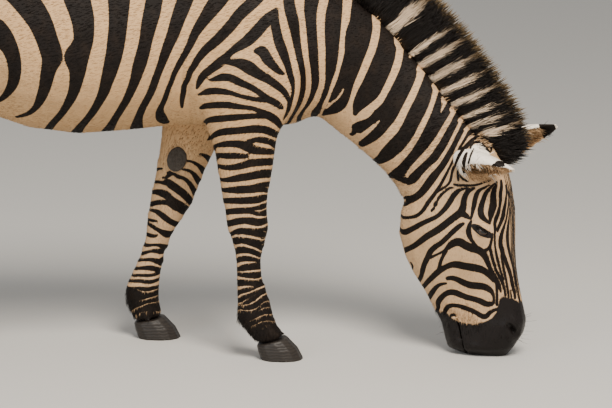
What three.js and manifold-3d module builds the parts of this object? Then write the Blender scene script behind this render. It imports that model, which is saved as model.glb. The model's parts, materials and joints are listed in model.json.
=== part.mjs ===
// A life-size plains zebra, grazing: head down, right foreleg forward, left foreleg back.
// Millimetres. +X runs towards the nose, +Y to the animal's left, +Z up, with the floor at z = 0.
// Each part of the body is a loft of cross-sections; the lofts are joined and then parted by thin cuts.
import * as THREE from "three";
import { mergeVertices } from "three/addons/utils/BufferGeometryUtils.js";
import Module from "manifold-3d";

const wasm = await Module();
wasm.setup();

// ---------------------------------------------------------------- driving dimensions
const WITHERS = 1245; // height of the withers above the floor
const CROUP = 1215; // height of the croup
const BELLY = 618; // lowest point of the belly
const STERNUM = 640; // underside of the chest, between the forelegs
const CHEST_HALF = 200; // half the width of the chest
const BARREL_HALF = 258; // half the width of the belly
const HIP_HALF = 232; // half the width of the hips
const FORE_TRACK = 130; // from the middle plane to the centre of each foreleg
const HIND_TRACK = 128; // from the middle plane to the centre of each hind leg
const HIND_STRIDE = 175; // the left hind hoof stands this far ahead of the right one
const HIP_HEIGHT = 980; // the hind legs swing about the hip at this height
const HEAD_TURN = THREE.MathUtils.degToRad(17); // the head is turned this far to the right
const TURN_STARTS = 400; // x where the neck begins to turn
const TURN_ENDS = 700; // x past which the head turns as one
const EYE = new THREE.Vector3(822, 85, 374); // centre of the left eyeball, before the head turns
const EYE_RADIUS = 21;
const GAP = 0.3; // the cut between two parts that touch
const PLAY = 0.4; // the space round a part that sits in a pocket of the body

// ---------------------------------------------------------------- lofts
const clamp01 = (t) => Math.min(1, Math.max(0, t));
const ease = (t) => clamp01(t) ** 2 * (3 - 2 * clamp01(t));
const signedPower = (v, p) => Math.sign(v) * Math.abs(v) ** p;

// A section lies in a plane across the body. `a` and `b` are its two ends seen from the side, as [x, z];
// `half` is half its width; `at` is how far from b to a it is widest; `na` and `nb` say how square each
// half is (2 is an ellipse, more is boxy, less is pointed); `y` is its centre's place from side to side.
const section = (a, b, half, { at = 0.5, na = 2, nb = 2, y = 0 } = {}) => ({
  ax: a[0], az: a[1], bx: b[0], bz: b[1], half, at, na, nb, y,
});

// One size of a row of sections, on a smooth curve through them.
function along(sections, key, u) {
  const i = Math.min(Math.floor(u), sections.length - 2);
  const value = (k) => sections[THREE.MathUtils.clamp(k, 0, sections.length - 1)][key];
  const [p, q, r, s] = [value(i - 1), value(i), value(i + 1), value(i + 2)];
  const t = u - i;
  return q + 0.5 * t * (r - p + t * (2 * p - 5 * q + 4 * r - s + t * (3 * (q - r) + s - p)));
}

const middle = (ring) => ring.reduce((sum, p) => sum.add(p), new THREE.Vector3()).divideScalar(ring.length);

// A closed surface through rings of points, all of one length, with a flat end at each side.
function skinRings(rings) {
  const n = rings[0].length;
  const points = [...rings.flat(), middle(rings[0]), middle(rings.at(-1))];
  const last = (rings.length - 1) * n;
  const hub = rings.length * n;
  const index = [];
  for (let i = 0; i < n; i++) {
    const j = (i + 1) % n;
    for (let r = 0; r < last; r += n) index.push(r + i, r + j, r + i + n, r + j, r + j + n, r + i + n);
    index.push(hub, j, i, hub + 1, last + i, last + j);
  }
  const g = new THREE.BufferGeometry();
  g.setAttribute("position", new THREE.Float32BufferAttribute(points.flatMap((p) => [p.x, p.y, p.z]), 3));
  g.setIndex(index);
  return g;
}

// A loft through sections, with `steps` rings from each section to the next and `sides` points to a ring.
// `grow` makes it thicker all round.
function loft(sections, { sides, steps = 1, grow = 0 }) {
  const count = (sections.length - 1) * steps;
  const rings = Array.from({ length: count + 1 }, (_, k) => {
    const s = (key) => along(sections, key, k / steps);
    const a = new THREE.Vector3(s("ax"), s("y"), s("az"));
    const b = new THREE.Vector3(s("bx"), s("y"), s("bz"));
    const centre = b.clone().lerp(a, s("at"));
    const up = a.clone().sub(b).normalize();
    const half = Math.max(1, s("half")) + grow;
    return Array.from({ length: sides }, (_, i) => {
      const angle = (2 * Math.PI * i) / sides;
      const above = Math.sin(angle) >= 0;
      const power = 2 / s(above ? "na" : "nb");
      const reach = centre.distanceTo(above ? a : b) + grow;
      return centre.clone()
        .addScaledVector(up, reach * signedPower(Math.sin(angle), power))
        .add(new THREE.Vector3(0, half * signedPower(Math.cos(angle), power), 0));
    });
  });
  for (const [end, next] of [[0, 1], [count, count - 1]]) {
    const out = middle(rings[end]).sub(middle(rings[next])).setLength(grow);
    rings[end].forEach((p) => p.add(out));
  }
  return skinRings(rings);
}

// ---------------------------------------------------------------- the turn of the head
// The neck turns little by little and the head turns as one, all about upright axes. This is the frame
// that carries whatever stands at x along the straight middle plane.
function turnedFrame(x) {
  const step = 5;
  let [cx, cy, turn] = [Math.min(x, TURN_STARTS), 0, 0];
  for (let at = TURN_STARTS; at < x; at += step) {
    const run = Math.min(step, x - at);
    turn = HEAD_TURN * ease((at + run / 2 - TURN_STARTS) / (TURN_ENDS - TURN_STARTS));
    cx += run * Math.cos(turn);
    cy -= run * Math.sin(turn);
  }
  return new THREE.Matrix4().makeRotationZ(-turn).setPosition(cx, cy, 0)
    .multiply(new THREE.Matrix4().makeTranslation(-x, 0, 0));
}

function turnHead(geometry) {
  const p = geometry.getAttribute("position");
  const point = new THREE.Vector3();
  for (let i = 0; i < p.count; i++) {
    point.fromBufferAttribute(p, i);
    point.applyMatrix4(turnedFrame(point.x));
    p.setXYZ(i, point.x, point.y, point.z);
  }
  return geometry;
}

// ---------------------------------------------------------------- solids
function toSolid(geometry) {
  const bare = geometry.clone();
  bare.deleteAttribute("normal");
  bare.deleteAttribute("uv");
  const merged = mergeVertices(bare, 1e-3);
  const vertProperties = merged.getAttribute("position").array;
  const solid = (triVerts) => new wasm.Manifold(new wasm.Mesh({ numProp: 3, vertProperties, triVerts }));
  const triVerts = new Uint32Array(merged.index.array);
  const made = solid(triVerts);
  return made.volume() > 0 ? made : solid(triVerts.reverse());
}

function toGeometry(solid) {
  const { vertProperties, triVerts } = solid.getMesh();
  const g = new THREE.BufferGeometry();
  g.setAttribute("position", new THREE.Float32BufferAttribute(vertProperties, 3));
  g.setIndex(new THREE.BufferAttribute(triVerts, 1));
  return g;
}

// A block whose outline in the side view is a polygon, reaching from y0 to y1 and grown by `grow`.
function block(outline, [y0, y1], grow, turnAt) {
  const points = outline.map(([x, z]) => new THREE.Vector2(x, z));
  const grown = points.map((p, i) => {
    const before = p.clone().sub(points.at(i - 1)).normalize();
    const after = points[(i + 1) % points.length].clone().sub(p).normalize();
    const out = (edge) => new THREE.Vector2(edge.y, -edge.x);
    const corner = out(before).add(out(after));
    return p.clone().addScaledVector(corner, (2 * grow) / corner.lengthSq());
  });
  const g = new THREE.ExtrudeGeometry(new THREE.Shape(grown), {
    depth: y1 - y0 + 2 * grow, bevelEnabled: false,
  });
  g.rotateX(Math.PI / 2).translate(0, y1 + grow, 0);
  g.applyMatrix4(turnedFrame(turnAt));
  return toSolid(g);
}

// ---------------------------------------------------------------- trunk
const trunkSections = [
  section([335, 790], [330, 705], 46),
  section([322, 890], [318, 664], 112, { at: 0.46 }),
  section([262, 1010], [262, 642], 158, { at: 0.44 }),
  section([165, 1125], [165, 636], 186, { at: 0.44, na: 1.9, nb: 2.1 }),
  section([50, WITHERS - 8], [50, STERNUM], CHEST_HALF, { at: 0.42, na: 1.75, nb: 2.1 }),
  section([-75, WITHERS - 14], [-75, STERNUM], CHEST_HALF + 16, { at: 0.4, na: 1.75 }),
  section([-200, 1192], [-200, 627], BARREL_HALF - 16, { at: 0.42, na: 1.95 }),
  section([-335, 1172], [-335, BELLY], BARREL_HALF, { at: 0.44 }),
  section([-470, 1176], [-470, 634], BARREL_HALF - 3, { at: 0.46, na: 2.05 }),
  section([-590, 1198], [-590, 676], HIP_HALF + 8, { na: 2.1, nb: 2.2 }),
  section([-700, CROUP], [-700, 728], HIP_HALF, { na: 2.1, nb: 2.8 }),
  section([-810, 1200], [-810, 760], HIP_HALF - 8, { na: 2.1, nb: 3 }),
  section([-905, 1160], [-905, 790], HIP_HALF - 26, { na: 2.1, nb: 3 }),
  section([-980, 1100], [-980, 815], 172, { na: 2.1, nb: 2.8 }),
  section([-1022, 1046], [-1022, 860], 108, { nb: 2.4 }),
];

// ---------------------------------------------------------------- neck, from the withers to the poll
const neckSections = [
  section([95, 1228], [250, 690], 150, { at: 0.45, na: 1.8 }),
  section([260, 1140], [318, 668], 146, { at: 0.46, na: 1.7 }),
  section([405, 1038], [352, 648], 128, { at: 0.46, na: 1.65 }),
  section([505, 958], [404, 606], 106, { at: 0.46, na: 1.65 }),
  section([585, 872], [462, 560], 92, { at: 0.47, na: 1.65 }),
  section([652, 800], [512, 514], 84, { at: 0.48, na: 1.7 }),
  section([716, 718], [552, 470], 79, { na: 1.8 }),
  section([770, 655], [578, 426], 74),
  section([808, 606], [636, 410], 66),
];

// ---------------------------------------------------------------- head, from the poll to the lips
const headSections = [
  section([800, 640], [752, 630], 34),
  section([834, 606], [700, 590], 72, { at: 0.55, na: 2.2 }),
  section([864, 552], [638, 535], 88, { at: 0.58, na: 2.3 }),
  section([880, 485], [584, 462], 96, { at: 0.62, na: 2.5, nb: 1.9 }),
  section([890, 418], [565, 393], 101, { at: 0.66, na: 2.7, nb: 1.9 }),
  section([892, 358], [561, 332], 102, { at: 0.68, na: 2.7, nb: 1.9 }),
  section([894, 302], [578, 270], 91, { at: 0.66, na: 2.5 }),
  section([900, 252], [604, 220], 77, { at: 0.62, na: 2.3, nb: 2.2 }),
  section([910, 202], [635, 174], 65, { at: 0.58, na: 2.1, nb: 2.2 }),
  section([921, 152], [662, 126], 58, { at: 0.56, na: 2.1, nb: 2.2 }),
  section([929, 106], [684, 84], 56, { at: 0.56, na: 2.2, nb: 2.2 }),
  section([921, 64], [694, 42], 55, { at: 0.56, na: 2.3, nb: 2.3 }),
  section([900, 28], [702, 16], 50, { at: 0.55, na: 2.3, nb: 2.3 }),
  section([876, 0], [738, 0], 30, { at: 0.55, na: 2.2, nb: 2.2 }),
];
const MOUTH = [[762, -20], [796, -20], [748, 112], [739, 112]]; // the open mouth, between the lips

// ---------------------------------------------------------------- legs
// A leg's sections, from inside the trunk to the coronet. Each row is its front point, its back point,
// the distance of its centre from the middle plane and half its width; `side` is -1 right, 1 left.
const legSections = (rows, side) =>
  rows.map(([a, b, y, half]) => section(a, b, half, { y: side * y, na: 2.1, nb: 2.1 }));

const rightForeleg = legSections([
  [[182, 1090], [52, 1100], 72, 30],
  [[272, 965], [6, 975], 116, 56],
  [[316, 835], [-22, 850], 133, 74],
  [[288, 722], [-6, 760], 137, 72],
  [[229, 645], [17, 672], FORE_TRACK + 6, 62],
  [[213, 585], [42, 592], FORE_TRACK + 4, 55],
  [[197, 485], [60, 485], FORE_TRACK, 45],
  [[193, 425], [71, 422], FORE_TRACK - 1, 40],
  [[195, 378], [77, 374], FORE_TRACK - 1, 41],
  [[186, 332], [95, 326], FORE_TRACK, 36],
  [[177, 284], [101, 280], FORE_TRACK, 28],
  [[183, 219], [103, 213], FORE_TRACK, 27],
  [[199, 168], [104, 160], FORE_TRACK, 31],
  [[209, 128], [105, 112], FORE_TRACK, 36],
  [[217, 98], [137, 70], FORE_TRACK, 33],
  [[232, 78], [154, 52], FORE_TRACK, 34],
  [[246, 64], [162, 42], FORE_TRACK, 41],
], -1);

const leftForeleg = legSections([
  [[142, 1090], [8, 1105], 72, 30],
  [[222, 965], [-46, 985], 116, 56],
  [[262, 842], [-92, 865], 133, 74],
  [[190, 735], [-108, 775], 137, 72],
  [[104, 645], [-112, 676], FORE_TRACK + 4, 62],
  [[56, 575], [-117, 590], FORE_TRACK, 55],
  [[12, 490], [-131, 490], FORE_TRACK - 4, 45],
  [[-7, 440], [-143, 436], FORE_TRACK - 6, 40],
  [[-26, 392], [-153, 384], FORE_TRACK - 7, 41],
  [[-56, 346], [-159, 336], FORE_TRACK - 8, 36],
  [[-84, 302], [-164, 296], FORE_TRACK - 8, 28],
  [[-101, 250], [-178, 246], FORE_TRACK - 8, 27],
  [[-115, 196], [-203, 190], FORE_TRACK - 8, 31],
  [[-123, 152], [-226, 136], FORE_TRACK - 8, 36],
  [[-124, 112], [-218, 92], FORE_TRACK - 8, 33],
  [[-119, 84], [-203, 66], FORE_TRACK - 8, 34],
  [[-108, 64], [-196, 46], FORE_TRACK - 8, 41],
], 1);

// Both hind legs share one shape; the left one is sheared forward about the hip, so its sole stays flat.
const hindRows = [
  [[-700, 1120], [-880, 1120], 80, 50],
  [[-660, 985], [-950, 990], 108, 76],
  [[-588, 862], [-1018, 890], 124, 94],
  [[-588, 760], [-992, 792], 137, 84],
  [[-636, 682], [-958, 722], 136, 70],
  [[-702, 622], [-936, 652], 134, 56],
  [[-768, 562], [-936, 590], 131, 44],
  [[-822, 510], [-966, 538], HIND_TRACK + 1, 37],
  [[-858, 458], [-984, 486], HIND_TRACK, 38],
  [[-869, 405], [-968, 420], HIND_TRACK, 36],
  [[-874, 350], [-950, 352], HIND_TRACK, 29],
  [[-872, 260], [-946, 256], HIND_TRACK, 27],
  [[-867, 185], [-949, 178], HIND_TRACK, 30],
  [[-858, 140], [-953, 122], HIND_TRACK, 36],
  [[-842, 102], [-924, 78], HIND_TRACK, 33],
  [[-826, 80], [-904, 56], HIND_TRACK, 34],
  [[-808, 64], [-892, 45], HIND_TRACK, 41],
];
const stride = ([x, z]) => [x + HIND_STRIDE * Math.max(0, 1 - z / HIP_HEIGHT), z];
const rightHindleg = legSections(hindRows, -1);
const leftHindleg = legSections(hindRows.map(([a, b, ...rest]) => [stride(a), stride(b), ...rest]), 1);

// A hoof: a wall that spreads from just under the coronet to a flat sole.
function hoof(leg) {
  const { ax, az, bx, bz, half, y } = leg.at(-1);
  const square = { y, at: 0.55, na: 2.1, nb: 2.6 };
  return toSolid(loft([
    section([ax, az - GAP], [bx, bz - GAP], half, { y, na: 2.1, nb: 2.1 }),
    section([ax + 8, az - 9], [bx - 1, bz - 8], half + 3, square),
    section([ax + 30, az / 2], [bx + 2, bz / 2], half + 7, square),
    section([ax + 46, 0], [bx + 10, 0], half + 10, square),
  ], { sides: 12 }));
}

// ---------------------------------------------------------------- tail, mane and forelock
const dockSections = [
  section([-962, 1112], [-990, 1062], 30),
  section([-1018, 1092], [-1004, 1036], 31),
  section([-1062, 1044], [-1014, 1012], 28),
  section([-1078, 960], [-1034, 950], 23),
  section([-1086, 860], [-1048, 856], 19),
  section([-1092, 770], [-1056, 768], 18),
];
const tuftSections = [
  section([-1092, 770 - GAP], [-1056, 768 - GAP], 18),
  section([-1108, 690], [-1050, 688], 28),
  section([-1118, 600], [-1048, 600], 34),
  section([-1120, 510], [-1054, 512], 32),
  section([-1114, 440], [-1066, 444], 22),
  section([-1102, 398], [-1080, 400], 8),
];

// Each section runs from the roots in the crest (b) to the hair tips (a), which fan forward at the poll.
const mane = (tip, root, half) => section(tip, root, half, { at: 0.3, na: 1.5 });
const maneSections = [
  mane([116, 1236], [120, 1204], 6),
  mane([212, 1236], [182, 1146], 14),
  mane([338, 1208], [270, 1092], 19),
  mane([482, 1150], [388, 1012], 21),
  mane([606, 1068], [482, 938], 22),
  mane([712, 974], [562, 858], 22),
  mane([792, 880], [630, 785], 22),
  mane([854, 796], [688, 712], 22),
  mane([906, 714], [740, 648], 22),
  mane([936, 646], [782, 602], 22),
  mane([936, 600], [800, 584], 21),
  mane([926, 568], [818, 570], 17),
  mane([900, 552], [830, 560], 10),
];

// ---------------------------------------------------------------- ears and chestnuts
// A leaf from its base to its tip, scooped out on the side that it opens to.
function ear({ base, tip, opens, grow = 0 }) {
  const axis = tip.clone().sub(base);
  const open = opens.clone().projectOnPlane(axis.clone().normalize()).normalize();
  const side = axis.clone().cross(open).normalize();
  const over = grow / axis.length();
  const leaf = (widths, depth, shift, from) => toSolid(turnHead(skinRings(widths.map((width, r) => {
    const t = THREE.MathUtils.lerp(from - over, 1 + over, r / (widths.length - 1));
    return Array.from({ length: 10 }, (_, i) => {
      const angle = (2 * Math.PI * i) / 10;
      return base.clone().addScaledVector(axis, t)
        .addScaledVector(side, (width + grow) * Math.cos(angle))
        .addScaledVector(open, (width * depth + grow) * Math.sin(angle) + shift * width);
    });
  }))));
  const solid = leaf([40, 55, 61, 60, 54, 46, 36, 24, 6], 0.56, 0, 0);
  if (grow) return solid;
  return solid.subtract(leaf([8, 47, 55, 54, 48, 40, 30, 18, 2], 0.58, 0.3, 0.14));
}
const EARS = {
  ear_right: { base: [752, -84, 566], tip: [925, -148, 556], opens: [0, -0.72, -0.7] },
  ear_left: { base: [780, 72, 562], tip: [985, 128, 638], opens: [0, 0.66, -0.75] },
};
const vector = ([x, y, z]) => new THREE.Vector3(x, y, z);
const earOf = (name, grow) =>
  ear({ base: vector(EARS[name].base), tip: vector(EARS[name].tip), opens: vector(EARS[name].opens), grow });

// A ball, stretched along each axis and leaned over in the side view.
function ball(centre, radii, lean, grow) {
  const g = new THREE.SphereGeometry(1, 10, 7);
  g.rotateX(Math.PI / 2).scale(radii[0] + grow, radii[1] + grow, radii[2] + grow);
  g.rotateY(lean).translate(centre[0], centre[1], centre[2]);
  return g;
}
const CHESTNUT = [30, 8, 38]; // the bare horny patch inside each forearm
const eyeOf = (side, grow) =>
  toSolid(turnHead(ball([EYE.x, side * EYE.y, EYE.z], Array(3).fill(EYE_RADIUS), 0, grow)));

// ---------------------------------------------------------------- join the body and part it
const LEG_SIDES = { foreleg: 12, hindleg: 12 };
const legs = {
  foreleg_right: rightForeleg, foreleg_left: leftForeleg,
  hindleg_right: rightHindleg, hindleg_left: leftHindleg,
};
let body = toSolid(loft(trunkSections, { sides: 24 }))
  .add(toSolid(turnHead(loft(neckSections, { sides: 16, steps: 2 }))))
  .add(toSolid(turnHead(loft(headSections, { sides: 20 }))));
for (const [name, sections] of Object.entries(legs)) {
  body = body.add(toSolid(loft(sections, { sides: LEG_SIDES[name.slice(0, 7)] })));
}

const pieces = {};

// A separate part that sits in a pocket of the body, cut to fit round it.
function seat(name, make) {
  pieces[name] = make(0);
  body = body.subtract(make(PLAY));
}
const chestnut = (x, y, z, lean) => (grow) => toSolid(ball([x, y, z], CHESTNUT, lean, grow));
seat("eye_right", (grow) => eyeOf(-1, grow));
seat("eye_left", (grow) => eyeOf(1, grow));
seat("ear_right", (grow) => earOf("ear_right", grow));
seat("ear_left", (grow) => earOf("ear_left", grow));
seat("mane", (grow) => toSolid(turnHead(loft(maneSections, { sides: 8, grow }))));
seat("tail_dock", (grow) => toSolid(loft(dockSections, { sides: 10, grow })));
seat("chestnut_right", chestnut(122, -82, 522, 0.1));
seat("chestnut_left", chestnut(-68, 81, 528, 0.3));
pieces.tail_tuft = toSolid(loft(tuftSections, { sides: 10 }));

body = body.subtract(block(MOUTH, [-200, 200], 0, TURN_ENDS + 1));

// Takes what lies inside a block out of the body, and leaves the rest a gap away from it.
const carve = (name, outline, across = [-600, 600], turnAt = 0) => {
  pieces[name] = body.intersect(block(outline, across, 0, turnAt));
  body = body.subtract(block(outline, across, GAP, turnAt));
};
carve("muzzle", [[540, -50], [1050, -50], [1050, 232], [540, 180]], undefined, TURN_ENDS + 1);
carve("head", [[540, 100], [1100, 100], [1100, 760], [883, 760], [540, 410]], undefined, TURN_ENDS + 1);
carve("neck_upper", [[400, 300], [1100, 300], [1100, 905], [600, 905], [436, 570]], undefined, 510);
carve("neck_base", [[400, 740], [1100, 740], [1100, 1400], [30, 1400], [235, 900]]);

const rightSide = [-420, -40];
const leftSide = [40, 420];
carve("foreleg_right_pastern", [[60, -10], [330, -10], [330, 185], [60, 165]], rightSide);
carve("foreleg_right_cannon", [[60, 100], [330, 100], [330, 338], [60, 318]], rightSide);
carve("foreleg_right_knee", [[40, 250], [330, 250], [330, 436], [40, 424]], rightSide);
carve("foreleg_right_forearm", [[-32, 350], [310, 350], [255, 688], [-32, 662]], rightSide);
carve("foreleg_left_pastern", [[-300, -10], [-40, -10], [-40, 180], [-300, 165]], leftSide);
carve("foreleg_left_cannon", [[-300, 100], [-20, 100], [-20, 348], [-300, 320]], leftSide);
carve("foreleg_left_knee", [[-300, 250], [60, 250], [60, 448], [-300, 428]], leftSide);
carve("foreleg_left_forearm", [[-260, 350], [60, 350], [170, 664], [-130, 692]], leftSide);

const hindCuts = {
  pastern: [[-1060, -10], [-740, -10], [-740, 190], [-1060, 176]],
  cannon: [[-1060, 120], [-740, 120], [-740, 384], [-1060, 402]],
  hock: [[-1060, 330], [-740, 330], [-740, 502], [-1060, 548]],
  gaskin: [[-1060, 450], [-740, 450], [-638, 672], [-1060, 742]],
  thigh: [[-1090, 600], [-545, 600], [-545, 730], [-640, 870], [-1090, 870]],
};
for (const [name, outline] of Object.entries(hindCuts)) {
  carve(`hindleg_right_${name}`, outline, rightSide);
  carve(`hindleg_left_${name}`, outline.map(stride), leftSide);
}
for (const [name, sections] of Object.entries(legs)) pieces[`${name}_hoof`] = hoof(sections);

carve("trunk_hindquarter", [[-1300, 500], [-610, 500], [-540, 1400], [-1300, 1400]]);
carve("trunk_barrel", [[-700, 500], [-205, 500], [-150, 1400], [-700, 1400]]);
pieces.trunk_forequarter = body;

// ---------------------------------------------------------------- colours and the finished group
const LOOKS = [
  [/hoof/, 0x2c2723, 0.5],
  [/chestnut/, 0x35302c, 0.8],
  [/eye/, 0x120d0a, 0.15],
  [/muzzle/, 0x1d1a18, 0.7],
  [/mane|tuft/, 0x2a231d, 0.85],
  [/./, 0xd9c9b0, 0.8],
];
const zebra = new THREE.Group();
for (const [name, solid] of Object.entries(pieces)) {
  const [, color, roughness] = LOOKS.find(([pattern]) => pattern.test(name));
  const look = new THREE.MeshStandardMaterial({ color, roughness, metalness: 0 });
  const mesh = new THREE.Mesh(toGeometry(solid), look);
  mesh.name = name;
  zebra.add(mesh);
}

// The origin is the middle of the animal's footprint box, on the floor.
const box = new THREE.Box3().setFromObject(zebra);
const centre = box.getCenter(new THREE.Vector3());
zebra.position.set(-centre.x, -centre.y, -box.min.z);
export default zebra;
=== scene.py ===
# %% [markdown]
# This lesson dresses a plain model of a zebra in skin, hair, eyes and hooves. Every piece made
# later is measured from them, so nothing has to be fitted by eye.
# %% Load the frame
import json
import math
import bpy
import bmesh
import numpy as np
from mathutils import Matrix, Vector
from mathutils.bvhtree import BVHTree

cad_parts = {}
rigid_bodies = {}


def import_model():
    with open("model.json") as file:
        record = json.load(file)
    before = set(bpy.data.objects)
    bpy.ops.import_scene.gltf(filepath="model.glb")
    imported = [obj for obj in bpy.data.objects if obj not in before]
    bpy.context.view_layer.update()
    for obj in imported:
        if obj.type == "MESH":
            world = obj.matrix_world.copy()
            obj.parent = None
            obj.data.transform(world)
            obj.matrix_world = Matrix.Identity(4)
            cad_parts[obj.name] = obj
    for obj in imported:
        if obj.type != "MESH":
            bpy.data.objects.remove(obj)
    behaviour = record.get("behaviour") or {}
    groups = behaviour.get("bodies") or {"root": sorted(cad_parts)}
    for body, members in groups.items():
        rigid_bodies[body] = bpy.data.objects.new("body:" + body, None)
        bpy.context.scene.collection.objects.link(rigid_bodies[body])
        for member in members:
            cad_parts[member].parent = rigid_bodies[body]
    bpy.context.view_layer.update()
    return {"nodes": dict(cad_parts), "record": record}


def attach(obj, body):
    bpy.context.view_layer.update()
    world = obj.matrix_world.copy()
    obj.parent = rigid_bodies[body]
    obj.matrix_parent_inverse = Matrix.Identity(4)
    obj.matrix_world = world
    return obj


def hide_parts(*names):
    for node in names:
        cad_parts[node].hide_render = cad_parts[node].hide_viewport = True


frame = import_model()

nodes = frame["nodes"]

# %% [markdown]
# The animal was drawn straight, then its neck was turned to its right. Working on the straight
# animal is easier, since its left and right halves match. These two functions go from one to the
# other. The neck follows a curve, and each point keeps its distance ahead and to the side of it.
# %% Straight and turned places
NEAR_FORE_SOLE_AHEAD = 0.232
HEAD_TURN = math.radians(17)
TURN_STARTS = 0.400
TURN_ENDS = 0.700
CURVE_STEP = 0.005
CURVE_END = 1.4
CURVE_ROUNDS = 8
mounts = {mount["name"]: np.array(mount["pos_m"]) for mount in frame["record"]["mounts"]}
AHEAD = np.array([mounts["foreleg_right_sole"][0] - NEAR_FORE_SOLE_AHEAD, 0.0, 0.0])


def centre_curve():
    along = np.arange(-CURVE_END, CURVE_END, CURVE_STEP)
    share = np.clip((along + CURVE_STEP / 2 - TURN_STARTS) / (TURN_ENDS - TURN_STARTS), 0, 1)
    angle = HEAD_TURN * share * share * (3 - 2 * share)
    step_x = np.cos(angle) * CURVE_STEP
    step_y = -np.sin(angle) * CURVE_STEP
    x = along[0] + np.concatenate([[0], np.cumsum(step_x)[:-1]])
    y = np.concatenate([[0], np.cumsum(step_y)[:-1]])
    return along, angle, x, y


CURVE = centre_curve()


def turned(straight):
    along, angle, x, y = CURVE
    s = straight[:, 0]
    heading = np.interp(s, along, angle)
    out = np.empty_like(straight)
    out[:, 0] = np.interp(s, along, x) + straight[:, 1] * np.sin(heading)
    out[:, 1] = np.interp(s, along, y) + straight[:, 1] * np.cos(heading)
    out[:, 2] = straight[:, 2]
    return out + AHEAD


def straightened(placed):
    along, angle, x, y = CURVE
    p = placed - AHEAD
    s = p[:, 0].copy()
    for _ in range(CURVE_ROUNDS):
        heading = np.interp(s, along, angle)
        away_x = p[:, 0] - np.interp(s, along, x)
        away_y = p[:, 1] - np.interp(s, along, y)
        s += away_x * np.cos(heading) - away_y * np.sin(heading)
    heading = np.interp(s, along, angle)
    away_x = p[:, 0] - np.interp(s, along, x)
    away_y = p[:, 1] - np.interp(s, along, y)
    side = away_x * np.sin(heading) + away_y * np.cos(heading)
    return np.stack([s, side, p[:, 2]], axis=1)


TEST_PLACES = np.array([[0.8, -0.08, 0.4], [0.5, 0.05, 0.9]])
print("turn and back is off by", float(np.abs(straightened(turned(TEST_PLACES)) - TEST_PLACES).max()))

# %% [markdown]
# A mesh is handled here as numpy arrays: its points, and its edges as pairs of numbers. Smoothing
# moves each point towards the middle of its neighbours, then a little more the other way, so that
# the body keeps its size. A weight from 0 to 1 says how far each point takes part.
# %% Mesh helpers
SMOOTH_STEP = 0.50
SMOOTH_BACK = 0.53
MERGE_GAP = 1e-5


def read(items, name, width, kind=np.float32):
    """One table out of a mesh, with a row for each of the items."""
    flat = np.empty(len(items) * width, dtype=kind)
    items.foreach_get(name, flat)
    return flat.reshape(-1, width)


def points_of(mesh):
    return read(mesh.vertices, "co", 3).astype(np.float64)


def set_points(mesh, points):
    mesh.vertices.foreach_set("co", np.asarray(points, dtype=np.float32).ravel())
    mesh.update()


def edges_of(mesh):
    return read(mesh.edges, "vertices", 2, np.int32)


def normals_of(mesh):
    return read(mesh.vertex_normals, "vector", 3).astype(np.float64)


def neighbour_mean(points, edges):
    count = np.bincount(edges.ravel(), minlength=len(points))
    total = np.empty_like(points)
    for axis in range(3):
        one_way, other_way = [np.bincount(edges[:, end], points[edges[:, 1 - end], axis], len(points))
                              for end in (0, 1)]
        total[:, axis] = one_way + other_way
    return total / np.maximum(count, 1)[:, None]


def smooth(mesh, rounds, weight=1.0):
    points = points_of(mesh)
    edges = edges_of(mesh)
    amount = np.broadcast_to(np.asarray(weight, dtype=float), (len(points),))[:, None]
    for _ in range(rounds):
        points = points + SMOOTH_STEP * amount * (neighbour_mean(points, edges) - points)
        points = points - SMOOTH_BACK * amount * (neighbour_mean(points, edges) - points)
    set_points(mesh, points)


def ramp(value, start, end):
    """Climbs softly from 0 at the start to 1 at the end, or falls where the end is below the start."""
    share = np.clip((value - start) / (end - start), 0, 1)
    return share * share * (3 - 2 * share)


# %% [markdown]
# Solids become skin by remeshing: their surface is made anew out of small even squares, which also
# joins whatever touches. A setting that Blender works out late is applied by making a plain mesh.
# %% Remake solids
def new_object(name, mesh):
    made = bpy.data.objects.new(name, mesh)
    bpy.context.scene.collection.objects.link(made)
    return made


def baked(made):
    """The object's shape with its modifiers applied, as its own plain mesh."""
    depsgraph = bpy.context.evaluated_depsgraph_get()
    depsgraph.update()
    mesh = bpy.data.meshes.new_from_object(made.evaluated_get(depsgraph))
    made.modifiers.clear()
    made.data = mesh
    return made


class editing:
    """Opens a mesh for editing, and writes it back at the end of the with block."""

    def __init__(self, mesh):
        self.mesh = mesh

    def __enter__(self):
        self.work = bmesh.new()
        self.work.from_mesh(self.mesh)
        self.work.verts.ensure_lookup_table()
        self.work.edges.ensure_lookup_table()
        return self.work

    def __exit__(self, *problem):
        self.work.to_mesh(self.mesh)
        self.work.free()


def only_largest(made):
    """Drops every separate shell but the one with the most points."""
    mesh = made.data
    edges = edges_of(mesh)
    label = np.arange(len(mesh.vertices))
    while True:
        lowest = np.minimum(label[edges[:, 0]], label[edges[:, 1]])
        before = label.copy()
        np.minimum.at(label, edges[:, 0], lowest)
        np.minimum.at(label, edges[:, 1], lowest)
        label = label[label]
        if np.array_equal(before, label):
            break
    names, counts = np.unique(label, return_counts=True)
    main = names[counts.argmax()]
    if len(names) > 1:
        with editing(mesh) as work:
            loose = [vert for vert in work.verts if label[vert.index] != main]
            bmesh.ops.delete(work, geom=loose, context="VERTS")
    print(made.name, "keeps", counts.max(), "points and drops", counts.sum() - counts.max())
    return made


def remeshed(name, node_names, cell, add=None):
    """One closed surface of even squares round the named solids, and whatever add puts with them."""
    made = new_object(name, bpy.data.meshes.new(name))
    with editing(made.data) as work:
        for node_name in node_names:
            work.from_mesh(nodes[node_name].data)
        bmesh.ops.remove_doubles(work, verts=work.verts, dist=MERGE_GAP)
        if add:
            add(work)
    remesh = made.modifiers.new("remesh", "REMESH")
    remesh.mode = "VOXEL"
    remesh.voxel_size = cell
    return only_largest(baked(made))


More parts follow.
